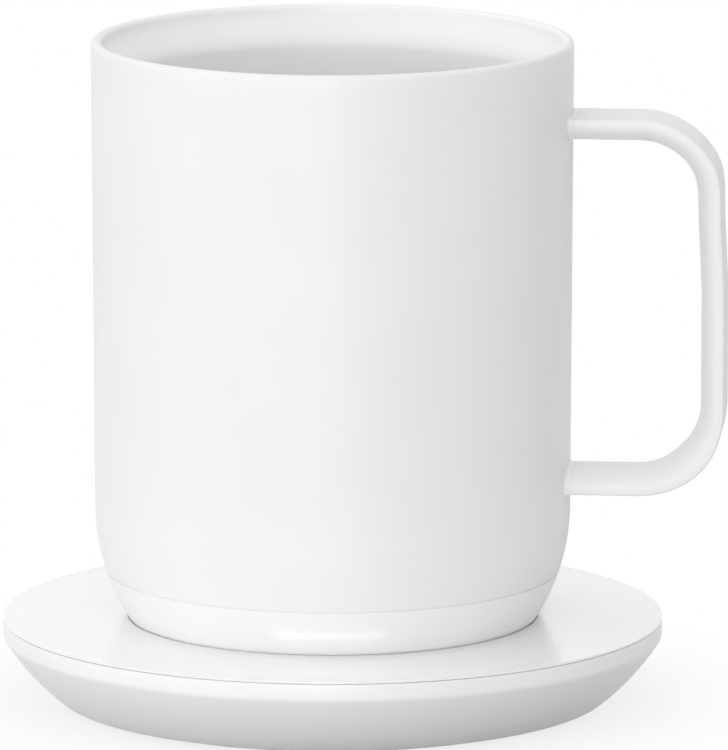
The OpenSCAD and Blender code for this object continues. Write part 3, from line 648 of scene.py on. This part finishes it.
def finishes():
    """One material for each slot of the record."""
    looks = {slot: plain_finish(*look) for slot, look in PLAIN_LOOKS.items()}
    looks["insulation_felt"].shader.inputs["Sheen Weight"].default_value = 0.4
    looks["white_coating"] = white_finish(
        "satin_white_coating", COATED, rough=0.42, peel_mm=0.5, peel_depth=0.003
    )
    looks["white_plastic"] = white_finish(
        "satin_white_moulding", MOULDED, rough=0.34, peel_mm=0.35, peel_depth=0.003
    )
    materials = {slot: look.material for slot, look in looks.items()}
    materials["clear_acrylic"] = clear_acrylic()
    materials["heater_foil"] = heater_foil()
    return materials


SLOT = finishes()

# Mug: shell, vessel and lip


def make_shell():
    """Thin shell from the seam up to the lip."""
    low = SEAM_Z + SEAM_GAP / 2
    outline = [(curve_r(low) - SEAM_NICK, low)] + curve(low + SEAM_NICK, SHOULDER_Z)
    outline += [(cone_r(LIP_Z), LIP_Z), (cone_r(LIP_Z, SHELL_WALL), LIP_Z)]
    outline += curve(low, SHOULDER_Z, SHELL_WALL)[::-1]
    shell = turned("mug_shell", closed(outline))
    dressed(shell, "mug", "outer_shell", "white_coating")


def flare(share0, share1, outside=0.0, steps=16):
    """Points along the mouth's flare, between two shares of its depth."""
    width = RIM_R - LIP_T - VESSEL_R
    shares = [share0 + (share1 - share0) * i / steps for i in range(steps + 1)]
    radii = [VESSEL_R + outside + width * (1 + math.cos(math.pi * s)) / 2 for s in shares]
    return [(r, FLARE_TOP - FLARE_H * s) for r, s in zip(radii, shares)]


def make_vessel():
    """Spun vessel, whose mouth flares out and runs over into the rounded lip."""
    fillet = (VESSEL_R - FLOOR_FILLET, FLOOR_Z + FLOOR_FILLET)
    outline = [(0, FLOOR_Z)] + arc(*fillet, FLOOR_FILLET, -90, 0) + flare(1, 0)
    outline += arc(RIM_R - LIP_T / 2, FLARE_TOP, LIP_T / 2, 180, 0, 16)[1:] + [(cone_r(LIP_Z), LIP_Z)]
    outline += flare((FLARE_TOP - LIP_Z) / FLARE_H, 1, VESSEL_WALL)
    outline += arc(*fillet, FLOOR_FILLET + VESSEL_WALL, 0, -90) + [(0, VESSEL_Z)]
    vessel = turned("mug_vessel", outline)
    dressed(vessel, "mug", "inner_vessel", "white_coating", vessel_finish())


# Handle: one strap drawn out, spun round two corners and brought back to the wall

# Root of the strap: distance from the wall, and how far the section stands out there
ROOT = [
    (-2.0, 0.35), (0.0, 0.35), (0.12, 0.18), (0.3, 0.06), (0.5, 0.0),
    (0.78, 0.0), (0.84, -0.12), (0.94, -0.12), (1.0, 0.0),
]

# Shares of the grip's length between its stations, closer together near the top corner
GRIP_STATIONS = (0.1, 0.12, 0.22, 0.56)


def strap_outline():
    """Strap section as depth below the outer face and place across: dished outside, round inside."""
    half = STRAP_W / 2
    edge = 0.35
    dish = 0.25
    flat = half - edge
    belly = STRAP_T - STRAP_EDGE
    belly_steps = 40
    dish_steps = 6
    right = arc(flat, -edge, edge, 90, 0, 6) + [(half, -STRAP_EDGE)]
    turns = [math.pi * i / belly_steps for i in range(1, belly_steps)]
    inside = [(half * math.cos(a), -STRAP_EDGE - belly * math.sin(a)) for a in turns]
    left = [(-v, u) for v, u in right[::-1]]
    across = [flat * (i / dish_steps - 1) for i in range(1, 2 * dish_steps)]
    outside = [(v, -dish * (1 - (v / flat) ** 2)) for v in across]
    return [(u, v) for v, u in right + inside + left + outside]


def ease_corners(handle, corner_x):
    """Lets the top corner run out slowly into the grip and makes the strap fuller at the bottom corner."""
    top_start, top_end, top_ease = 7.0, 30.0, 0.62
    arm_more, corner_more, inner_more = 0.28, 0.45, 0.3
    for point in handle.data.vertices:
        x = point.co.x / MM
        deep = HANDLE_TOP - point.co.z / MM
        rise = point.co.z / MM - HANDLE_LOW
        if x > corner_x and top_start < deep < top_end:
            if deep < HANDLE_CORNER:
                share = (deep - top_start) / (HANDLE_CORNER - top_start)
            else:
                share = (top_end - deep) / (top_end - HANDLE_CORNER)
            point.co.x -= top_ease * MM * math.sin(math.pi / 2 * share) ** 2
        elif x <= corner_x and rise < 2 * STRAP_T:
            point.co.z -= arm_more * MM * max(0.0, 1 - rise / STRAP_T)
        elif x > corner_x and rise < HANDLE_CORNER:
            side, down = x - corner_x, HANDLE_CORNER - rise
            turn = math.atan2(side, down)
            outer = (math.hypot(side, down) - HANDLE_CORNER + STRAP_T) / STRAP_T
            fuller = math.sin(2 * turn) ** 2
            outward = (arm_more * math.cos(turn) ** 2 + corner_more * fuller) * outer
            push = outward - inner_more * fuller * (1 - outer)
            point.co.x += push * MM * math.sin(turn)
            point.co.z -= push * MM * math.cos(turn)


def lay_on_wall(handle):
    """Bends the roots back along the mug's round wall and cuts off what is inside it."""
    near_wall = RIM_R + 2
    for point in handle.data.vertices:
        if point.co.x < near_wall * MM:
            wall = cone_r(point.co.z / MM) * MM
            point.co.x -= wall - math.sqrt(wall * wall - point.co.y * point.co.y)
    side = [(0, SHOULDER_Z), (SIDE_R, SHOULDER_Z), (cone_r(LIP_Z), LIP_Z), (0, LIP_Z)]
    worked(handle, [turned("wall_tool", side)], "DIFFERENCE")


def make_handle():
    """Strap handle, from its top root round to its bottom root."""
    corner_x = HANDLE_REACH - HANDLE_CORNER
    top_mid = HANDLE_TOP - STRAP_T / 2
    low_mid = HANDLE_LOW + STRAP_T / 2
    x = cone_r(top_mid) + ROOT[0][0]
    out = 0.0
    points = [(x, v, HANDLE_TOP + u) for u, v in strap_outline()]
    handle = start_outline("strap_handle", *points[0])
    draw_on(closed(points))
    merge_doubles()
    bpy.ops.mesh.select_all(action="SELECT")

    def reach(dx, dz=0.0):
        bpy.ops.mesh.extrude_region_move(TRANSFORM_OT_translate={"value": (dx * MM, 0, dz * MM)})

    def corner(z):
        bpy.ops.mesh.spin(steps=28, angle=-math.pi / 2, center=(corner_x * MM, 0, z * MM), axis=(0, 1, 0))

    def root(stations, mid):
        nonlocal x, out
        for distance, more in stations:
            at = cone_r(mid) + distance
            if at != x:
                reach(at - x)
            wide = (STRAP_W + 2 * more) / (STRAP_W + 2 * out)
            tall = (STRAP_T + 2 * more) / (STRAP_T + 2 * out)
            bpy.ops.transform.resize(value=(1, wide, tall), center_override=(0, 0, mid * MM))
            x, out = at, more

    root(ROOT, top_mid)
    reach(corner_x - x)
    corner(HANDLE_TOP - HANDLE_CORNER)
    for share in GRIP_STATIONS:
        reach(0, share * (HANDLE_LOW - HANDLE_TOP + 2 * HANDLE_CORNER))
    corner(HANDLE_LOW + HANDLE_CORNER)
    x = corner_x
    root(ROOT[::-1], low_mid)
    merge_doubles()
    cap_ends()
    close_up()
    ease_corners(handle, corner_x)
    lay_on_wall(handle)
    dressed(handle, "mug", "handle", "white_coating", smooth=24.0)


# Base of the mug: ring with the light, foot, cover, contacts and button


def base_outline():
    """Section of the base ring: foot groove, curved side, seam, spigot with its seal groove, and inside."""
    seam_low = SEAM_Z - SEAM_GAP / 2
    seam_high = SEAM_Z + SEAM_GAP / 2
    seam_deep = 0.2
    step_z = seam_high - 0.02
    skirt_top = seam_low - 1
    edge_z = HOUSING_Z + BASE_EDGE
    edge_angle = curve_angle(edge_z, BASE_EDGE)
    spigot = curve_r(seam_high, SHELL_WALL) - SLIDE_GAP
    foot_in = FOOT_R - FOOT_W / 2 - SEAT_FIT
    foot_out = FOOT_R + FOOT_W / 2 + SEAT_FIT
    groove_z = HOUSING_Z + FOOT_GROOVE
    hole = COVER_R + SLIDE_GAP
    outline = [(hole, HOUSING_Z), (foot_in, HOUSING_Z), (foot_in, groove_z)]
    outline += [(foot_out, groove_z), (foot_out, HOUSING_Z)]
    outline += arc(curve_r(edge_z, BASE_EDGE), edge_z, BASE_EDGE, -90, edge_angle, 8)
    outline += arc(CURVE_X, CURVE_Z, SHOULDER_R, edge_angle, curve_angle(seam_low - SEAM_NICK), 24)[1:]
    outline += [(curve_r(seam_low) - SEAM_NICK, seam_low), (curve_r(seam_low) - seam_deep, seam_low)]
    outline += [(curve_r(seam_high) - seam_deep, step_z), (spigot, step_z)]
    outline += [(spigot, SEAL_LOW), (spigot - SEAL_GROOVE, SEAL_LOW), (spigot - SEAL_GROOVE, SEAL_HIGH)]
    outline += [(spigot, SEAL_HIGH), (spigot, SPIGOT_TOP - SEAM_NICK), (spigot - SEAM_NICK, SPIGOT_TOP)]
    outline += [(spigot - SPIGOT_WALL, SPIGOT_TOP), (spigot - SPIGOT_WALL, skirt_top)]
    outline += curve(FLANGE_TOP, skirt_top, BASE_WALL)[::-1] + [(hole, FLANGE_TOP)]
    return closed(outline)


def make_base():
    """Base ring, thinned from inside where the light shines through, with holes for its screws."""
    base = turned("base_ring", base_outline())
    room = 0.1
    left_standing = 0.7
    low = LIGHT_Z - LIGHT_H / 2 - room
    high = LIGHT_Z + LIGHT_H / 2 + room
    span = LIGHT_SPAN + 1
    pocket = [(SKIRT_R, low)] + curve(low, high, left_standing, 8) + [(SKIRT_R, high)]
    start = LIGHT_ANGLE - span / 2
    worked(base, [turned("light_tool", closed(pocket), steps=36, angle=span, start=start)], "DIFFERENCE")
    head_r, shank_r = 1.55, 0.95
    head_top = HOUSING_Z + FOOT_GROOVE + 0.85
    spots = ring_of_four(FOOT_R)
    holes = [screw_hole(spot, HOUSING_Z, head_r, head_top, shank_r, FLANGE_TOP + PAST) for spot in spots]
    worked(base, holes, "DIFFERENCE")
    dressed(base, "mug", "base_housing", "white_plastic", lit_base())


def make_foot():
    """Soft foot ring with two fine grooves."""
    low = FOOT_R - FOOT_W / 2
    high = FOOT_R + FOOT_W / 2
    edge = 0.3
    dent = 0.14
    dent_w = 0.3
    dent_side = 0.06
    outline = [(low, HOUSING_Z + FOOT_GROOVE)] + arc(low + edge, MUG_Z + edge, edge, 180, 270, 6)
    for r in (FOOT_R - 2 * dent_w, FOOT_R + dent_w):
        outline += [(r, MUG_Z), (r + dent_side, MUG_Z + dent)]
        outline += [(r + dent_w - dent_side, MUG_Z + dent), (r + dent_w, MUG_Z)]
    outline += arc(high - edge, MUG_Z + edge, edge, -90, 0, 6) + [(high, HOUSING_Z + FOOT_GROOVE)]
    foot = turned("soft_foot", closed(outline))
    dressed(foot, "mug", "foot_ring", "pale_silicone", smooth=40.0)


def make_cover():
    """Cover under the mug, with seats for the contact rings and holes for their tails."""
    half = RING_W / 2 + SEAT_FIT
    deep = COVER_Z + RING_T + SEAT_FIT
    nick = 0.15
    hole = BUTTON_R + SLIDE_GAP
    lip_top = COVER_LIP_Z + COVER_LIP_T
    outline = [(hole, COVER_Z + nick), (hole + nick, COVER_Z)]
    for r in (RING_IN_R, RING_OUT_R):
        outline += [(r - half, COVER_Z), (r - half, deep), (r + half, deep), (r + half, COVER_Z)]
    outline += [(COVER_R - nick, COVER_Z), (COVER_R, COVER_Z + nick), (COVER_R, COVER_LIP_Z)]
    outline += [(COVER_LIP_R, COVER_LIP_Z), (COVER_LIP_R, lip_top), (COVER_R - RIB_W, lip_top)]
    outline += [(COVER_R - RIB_W, COVER_TOP), (RIB_R, COVER_TOP), (RIB_R, BOARD_Z), (RIB_R - RIB_W, BOARD_Z)]
    outline += [(RIB_R - RIB_W, COVER_TOP), (hole, COVER_TOP)]
    cover = turned("underside_cover", closed(outline))
    tails = [(0, s * r) for r in (RING_IN_R, RING_OUT_R) for s in (-1, 1)]
    way, low, high = TAIL_R + TAIL_GAP, deep - 0.2, COVER_TOP + PAST
    worked(cover, [rod("tail_tool", x, y, way, low, high, steps=24) for x, y in tails], "DIFFERENCE")
    dressed(cover, "mug", "bottom_cover", "white_plastic")


def make_contact(name, node, r):
    """Contact ring with two tails up to the board."""
    low = r - RING_W / 2
    high = r + RING_W / 2
    edge = 0.12
    top = COVER_Z + RING_T
    outline = [(low, top)] + arc(low + edge, COVER_Z + edge, edge, 180, 270, 4)
    outline += arc(high - edge, COVER_Z + edge, edge, -90, 0, 4) + [(high, top)]
    contact = turned(name, closed(outline))
    middle = COVER_Z + RING_T / 2
    worked(contact, [rod("tail", 0, s * r, TAIL_R, middle, BOARD_Z, steps=24) for s in (-1, 1)], "UNION")
    dressed(contact, "mug", node, "contact_gold")


def make_button():
    """Power button with a slightly hollow face, a flange that keeps it in and a stem for the plunger."""
    hollow = 0.14
    edge = 0.3
    face = BUTTON_R - edge
    steps = 10
    shares = [i / steps for i in range(steps)]
    outline = [(face * s, BUTTON_Z + hollow * (1 + math.cos(math.pi * s)) / 2) for s in shares]
    outline += arc(face, BUTTON_Z + edge, edge, -90, 0, 6)
    outline += [(BUTTON_R, BUTTON_FLANGE_LOW), (BUTTON_FLANGE_R, BUTTON_FLANGE_LOW)]
    outline += [(BUTTON_FLANGE_R, BUTTON_FLANGE_TOP), (BUTTON_STEM_R, BUTTON_FLANGE_TOP)]
    outline += [(BUTTON_STEM_R, BUTTON_STEM_TOP), (0, BUTTON_STEM_TOP)]
    button = turned("round_button", outline, steps=96)
    dressed(button, "power_button", "button_cap", "grey_plastic")


# Coaster: top plate, bowl, pad, spring pins and power inlet


def make_plate():
    """Top plate with the mug's seat, screw posts below and holes for the pins."""
    edge = 0.05
    fillet = 0.5
    groove_r = COASTER_R - 0.4
    groove_z = RIM_TOP + 0.02
    edge_z = COASTER_H - PLATE_EDGE
    outline = [(0, DISH_Z), (DISH_R, DISH_Z), (DISH_R, PLATE_Z), (PLATE_R, PLATE_Z), (PLATE_R, groove_z)]
    outline += [(groove_r, groove_z), (groove_r, edge_z), (COASTER_R, edge_z)]
    outline += arc(COASTER_R - edge, COASTER_H - edge, edge, 0, 90, 4)
    outline += arc(SEAT_R + SEAT_EDGE, COASTER_H - SEAT_EDGE, SEAT_EDGE, 90, 180, 6)
    outline += arc(SEAT_R - fillet, MUG_Z + fillet, fillet, 0, -90, 6) + [(0, MUG_Z)]
    plate = turned("coaster_plate", outline)
    post_root = PLATE_Z + 1.2
    worked(plate, [rod("post", x, y, POST_R, POST_Z, post_root) for x, y in POST_SPOTS], "UNION")
    screw_r = 1.25
    holes = [rod("screw_tool", x, y, screw_r, POST_Z - PAST, PLATE_Z) for x, y in POST_SPOTS]
    pin_hole = PIN_R + SLIDE_GAP
    mouth = pin_hole + 0.35
    low, neck, high = DISH_Z - PAST, MUG_Z - 0.25, MUG_Z + 0.1
    flared = [(0, low), (pin_hole, low), (pin_hole, neck), (mouth, high), (0, high)]
    holes += [turned("pin_tool", flared, steps=48, axis=spot) for spot in PIN_SPOTS]
    worked(plate, holes, "DIFFERENCE")
    dressed(plate, "coaster", "coaster_top", "white_plastic", lacquer())


def bowl_angle(z, r):
    """Angle on the bowl's curve of that radius at a height."""
    return math.degrees(math.asin((z - BOWL_UP) / r))


def bowl_side(inside=0.0):
    """The bowl's outside from its underside up to the band, with both edges rounded."""
    band_r = 1.6
    deep = BOWL_R - BOWL_EDGE
    low = bowl_angle(BOWL_Z + BOWL_EDGE, deep)
    foot_x = BOWL_X + deep * math.cos(math.radians(low))
    high = -math.degrees(math.acos((COASTER_R - band_r - BOWL_X) / (BOWL_R - band_r)))
    band_z = BOWL_UP + (BOWL_R - band_r) * math.sin(math.radians(high))
    points = arc(foot_x, BOWL_Z + BOWL_EDGE, BOWL_EDGE - inside, -90, low, 10)
    points += arc(BOWL_X, BOWL_UP, BOWL_R - inside, low, high, 24)[1:]
    points += arc(COASTER_R - band_r, band_z, band_r - inside, high, 0, 8)[1:]
    return points


def bowl_outline():
    """Section of the bowl: recess for the pad, outside, rim with a ledge for the plate, and inside."""
    edge = 0.1
    rim = PLATE_R + SLIDE_GAP
    hollow = BOWL_R - BOWL_WALL
    top = bowl_angle(BAND_Z, hollow)
    ledge = BOWL_X + hollow * math.cos(math.radians(top))
    recess = PAD_R + SLIDE_GAP
    outline = [(0, PAD_TOP), (recess, PAD_TOP), (recess, BOWL_Z)] + bowl_side()
    outline += arc(COASTER_R - edge, RIM_TOP - edge, edge, 0, 90, 4)
    outline += [(rim, RIM_TOP), (rim, PLATE_Z), (ledge, PLATE_Z)]
    outline += arc(BOWL_X, BOWL_UP, hollow, top, bowl_angle(FLOOR_TOP, hollow), 16)
    return outline + [(0, FLOOR_TOP)]


def add_pocket_walls(bowl):
    """Thickens the bowl's back round the inlet's pocket, up to just inside its outer face."""
    inset = 0.6
    half = POCKET_W / 2 + BOWL_WALL
    walls = block("pocket_walls", (-half, JACK_FRONT, BOWL_Z + inset), (half, COASTER_R + PAST, BAND_Z))
    solid = [(0, BOWL_Z + inset)] + bowl_side(inset) + [(COASTER_R - inset, COASTER_H), (0, COASTER_H)]
    worked(walls, [turned("outside_tool", solid)], "INTERSECT")
    worked(bowl, [walls], "UNION")


def add_stands(bowl):
    """Stands for the board and bosses for the plate's screws, then their holes."""
    root = PAD_TOP + 0.3
    boss_r = 3.6
    posts = [rod("stand", x, y, STAND_R, root, STAND_TOP) for x, y in STAND_SPOTS]
    posts += [rod("boss", x, y, boss_r, root, POST_Z) for x, y in POST_SPOTS]
    worked(bowl, posts, "UNION")
    board_screw_r = 0.85
    head_r, shank_r = 2.5, 1.35
    low, head_top, high = PAD_TOP - PAST, PAD_TOP + 1.45, POST_Z + PAST
    end = PAD_TOP + 0.7
    cuts = [rod("screw_tool", x, y, board_screw_r, end, POST_Z, steps=24) for x, y in STAND_SPOTS]
    cuts += [screw_hole(spot, low, head_r, head_top, shank_r, high) for spot in POST_SPOTS]
    worked(bowl, cuts, "DIFFERENCE")


def cut_pocket(bowl):
    """Opens the pocket in the bowl's back and the seat of the inlet behind it."""
    corner = 1.5
    mouth = block(
        "pocket_tool",
        (-POCKET_W / 2, POCKET_Y, JACK_Z - POCKET_H / 2),
        (POCKET_W / 2, COASTER_R + 8, JACK_Z + POCKET_H / 2),
        corner,
    )
    worked(bowl, [mouth], "DIFFERENCE")
    way = NOSE_R + JACK_FIT
    start = JACK_FRONT - 2
    nose = turned("nose_tool", [(0, start), (way, start), (way, TOOL_END), (0, TOOL_END)], steps=64)
    seat = block(
        "jack_tool",
        (-JACK_W / 2 - JACK_FIT, JACK_BACK - JACK_FIT, JACK_Z - JACK_H / 2 - JACK_FIT),
        (JACK_W / 2 + JACK_FIT, JACK_FRONT, JACK_Z + JACK_H / 2 + JACK_FIT),
    )
    worked(seat, [on_inlet_axis(nose)], "UNION")
    worked(bowl, [seat], "DIFFERENCE")


def make_bowl():
    """Rounded bowl of the coaster."""
    bowl = turned("coaster_shell", bowl_outline())
    add_pocket_walls(bowl)
    add_stands(bowl)
    cut_pocket(bowl)
    dressed(bowl, "coaster", "coaster_bowl", "white_plastic")


def make_pad():
    """Non-slip pad with shallow ring grooves."""
    edge = 0.3
    deep = 0.18
    groove_w = 0.6
    groove_side = 0.1
    pitch = 2.5
    outline = [(0, 0)]
    r = 3.0
    while r < PAD_R - 3:
        outline += [(r, 0), (r + groove_side, deep)]
        outline += [(r + groove_w - groove_side, deep), (r + groove_w, 0)]
        r += pitch
    outline += arc(PAD_R - edge, edge, edge, -90, 0, 6) + [(PAD_R, PAD_TOP), (0, PAD_TOP)]
    pad = turned("grip_pad", outline)
    dressed(pad, "coaster", "coaster_pad", "pale_silicone", smooth=40.0)


def make_pin(name, node, spot):
    """Spring pin with a round tip and a collar that keeps it in its barrel."""
    outline = [(0, PIN_COLLAR_LOW), (PIN_COLLAR_R, PIN_COLLAR_LOW), (PIN_COLLAR_R, PIN_COLLAR_TOP)]
    outline += [(PIN_R, PIN_COLLAR_TOP)] + arc(0, PIN_TIP - PIN_R, PIN_R, 0, 90, 10)
    pin = turned(name, outline, steps=64, axis=spot)
    dressed(pin, node, node, "contact_gold")


def make_spring(name, node, spot):
    """Coil spring under a pin's collar."""
    low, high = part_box(node)
    coil_r = (high[0] - low[0]) / MM / 2 - SPRING_WIRE
    length = (high[2] - low[2]) / MM
    steps = 32
    points = [(coil_r + x, 0, z) for x, z in arc(0, 0, SPRING_WIRE, 0, 360, 10)]
    spring = start_outline(name, *points[0])
    draw_on(points)
    close_up()
    coil = spring.modifiers.new("coil", "SCREW")
    coil.iterations = SPRING_TURNS
    coil.screw_offset = (length - 2 * SPRING_WIRE) / SPRING_TURNS * MM
    coil.steps = steps
    coil.render_steps = steps
    bpy.ops.object.modifier_apply(modifier=coil.name)
    bpy.ops.object.mode_set(mode="EDIT")
    cap_ends()
    close_up()
    moved(spring, spot[0], spot[1], low[2] / MM + SPRING_WIRE)
    dressed(spring, "coaster", node, "plain_steel")
    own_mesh(spring)


def make_inlet():
    """Power inlet: body with a round nose, two solder lugs and a socket, and the pin in its middle."""
    floor_y = POCKET_Y - SOCKET_DEPTH
    front = POCKET_Y - JACK_FIT
    body = block(
        "inlet_body",
        (-JACK_W / 2, JACK_BACK, JACK_Z - JACK_H / 2),
        (JACK_W / 2, JACK_FRONT - JACK_FIT, JACK_Z + JACK_H / 2),
        0.25,
    )
    root, nick = JACK_BACK + 1, 0.2
    barrel = [(0, root), (NOSE_R, root), (NOSE_R, front - nick), (NOSE_R - nick, front), (0, front)]
    worked(body, [on_inlet_axis(turned("nose", barrel, steps=96))], "UNION")
    lug_x, lug_half, lug_back, lug_front, lug_low, lug_top = 2.25, 1.0, 35.2, 38.7, 5.3, 5.7
    lugs = []
    for middle in (-lug_x, lug_x):
        low_corner = (middle - lug_half, lug_back, lug_low)
        lugs.append(block("lug", low_corner, (middle + lug_half, lug_front, lug_top)))
    worked(body, lugs, "UNION")
    pin_hole, bevel = 0.8, 0.25
    mouth = SOCKET_R + bevel
    pin_seat = floor_y - 1
    hollow = [(0, pin_seat), (pin_hole, pin_seat), (pin_hole, floor_y), (SOCKET_R, floor_y)]
    hollow += [(SOCKET_R, front - bevel), (mouth, front), (mouth, TOOL_END), (0, TOOL_END)]
    worked(body, [on_inlet_axis(turned("socket_tool", hollow, steps=96))], "DIFFERENCE")
    dressed(body, "coaster", "dc_jack", "black_plastic")

    pin_r, shank_r, round_r = 1.0, 0.75, 0.3
    shank_low, shank_top, tip = floor_y - 0.95, floor_y + 0.05, floor_y + 8.2
    outline = [(0, shank_low), (shank_r, shank_low), (shank_r, shank_top), (pin_r, shank_top)]
    outline += arc(pin_r - round_r, tip - round_r, round_r, 0, 90, 5) + [(0, tip)]
    pin = on_inlet_axis(turned("inlet_pin", outline, steps=48))
    dressed(pin, "coaster", "dc_jack_pin", "contact_gold")


make_shell()
make_vessel()
make_handle()
make_base()
make_foot()
make_cover()
make_contact("contact_track_inner", "inner_contact_ring", RING_IN_R)
make_contact("contact_track_outer", "outer_contact_ring", RING_OUT_R)
make_button()
make_plate()
make_bowl()
make_pad()
make_pin("spring_pin_inner", "inner_pin", PIN_SPOTS[0])
make_pin("spring_pin_outer", "outer_pin", PIN_SPOTS[1])
make_spring("pin_spring_inner", "inner_pin_spring", PIN_SPOTS[0])
make_spring("pin_spring_outer", "outer_pin_spring", PIN_SPOTS[1])
make_inlet()

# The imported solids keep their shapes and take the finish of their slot
for part in frame["record"]["subparts"]:
    node = frame["nodes"][part["node"]]
    node.data.materials.clear()
    node.data.materials.append(SLOT[part["material_slot"]])

# Stage: the floor, the light and the camera

# Level of the room's light from the left, from the right and from above
ROOM_LEFT = 0.8
ROOM_RIGHT = 0.42
ROOM_TOP = 1.0

# Lamps stand round the front, all at one height; their power is in watts
LAMP_AIM = (0, 0, 0.06)
LAMP_SIZE = 0.5
LAMPS = [
    ("front", (0.0, -1.995, 0.2), 8.9),
    ("key", (-0.998, -1.728, 0.2), 2.2),
    ("left", (-1.808, -0.843, 0.2), 3.5),
]


def make_floor():
    """Pale floor that keeps the shadow near the object and is white further out; the light it carries is
    darker near the object, as painted shade.
    """
    size, drop = 30, 0.00005
    near, shade_start, shade_end = 0.05, 0.058, 0.085
    bpy.ops.object.select_all(action="DESELECT")
    bpy.ops.mesh.primitive_plane_add(size=size, location=(0, 0, -drop))
    floor = named("floor")
    paint = Finish("pale_floor", 0.9)
    radius = paint.radius()
    seen = paint.seen_directly()
    # Painted shade: for the light it carries, the floor is darker close to the object, a painted contact
    # shadow under the bowl.
    bounce_with_painted_shade = paint.blend(paint.ramp(radius, shade_start, shade_end), grey(0.45), grey(0.65))
    paint.colour(paint.blend(seen, bounce_with_painted_shade, grey(0.9)))
    paint.shader.inputs["Specular IOR Level"].default_value = 0.0
    white = paint.node("ShaderNodeEmission")
    white.inputs["Strength"].default_value = 1.0
    share = paint.math("MULTIPLY", seen, paint.ramp(radius, near, shade_end, 0.8, 1.0))
    paint.show_white(share, paint.shader.outputs["BSDF"], white.outputs["Emission"], "Material Output")
    floor.data.materials.append(paint.material)


def make_world():
    """White where it is looked at, and a softer grey as the light of the room."""
    world = bpy.data.worlds.new("studio")
    bpy.context.scene.world = world
    world.use_nodes = True
    air = Nodes(world.node_tree, "Generated")
    x, _, z = air.axes()
    across = air.ramp(x, -0.6, 0.6, ROOM_LEFT, ROOM_RIGHT)
    rising = air.ramp(z, 0.3, 0.8)
    room = air.tree.nodes["Background"]
    room.inputs["Color"].default_value = (1.0, 1.0, 1.0, 1.0)
    air.feed(room.inputs["Strength"], air.blend(rising, across, ROOM_TOP, "FLOAT"))
    white = air.node("ShaderNodeBackground")
    white.inputs["Color"].default_value = (1.0, 1.0, 1.0, 1.0)
    white.inputs["Strength"].default_value = 1.0
    air.show_white(
        air.seen_directly(), room.outputs["Background"], white.outputs["Background"], "World Output"
    )


def make_lamp(name, place, power):
    """Round soft lamp that the camera doesn't see, aimed at the mug."""
    bpy.ops.object.select_all(action="DESELECT")
    bpy.ops.object.light_add(type="AREA", location=place)
    lamp = named(name)
    lamp.data.shape = "DISK"
    lamp.data.size = LAMP_SIZE
    lamp.data.energy = power
    lamp.visible_camera = False
    lamp.rotation_euler = (lamp.location - Vector(LAMP_AIM)).to_track_quat("Z", "Y").to_euler()


def make_camera():
    """Long lens, a little above the mug and five degrees to the handle's side."""
    distance = 1.7776
    rise = math.radians(10.56)
    turn = math.radians(5.0)
    aim = (0.00520, 0.000455, 0.0546)
    back = (math.sin(turn) * math.cos(rise), -math.cos(turn) * math.cos(rise), math.sin(rise))
    bpy.ops.object.camera_add(location=[a + distance * b for a, b in zip(aim, back)])
    camera = bpy.context.active_object
    camera.rotation_euler = (math.pi / 2 - rise, 0, turn)
    camera.data.lens = 512.7
    camera.data.sensor_width = 36.0
    camera.data.clip_end = 60.0
    bpy.context.scene.camera = camera


make_floor()
make_world()
for lamp in LAMPS:
    make_lamp(*lamp)
make_camera()

bpy.context.scene.view_settings.view_transform = "Standard"
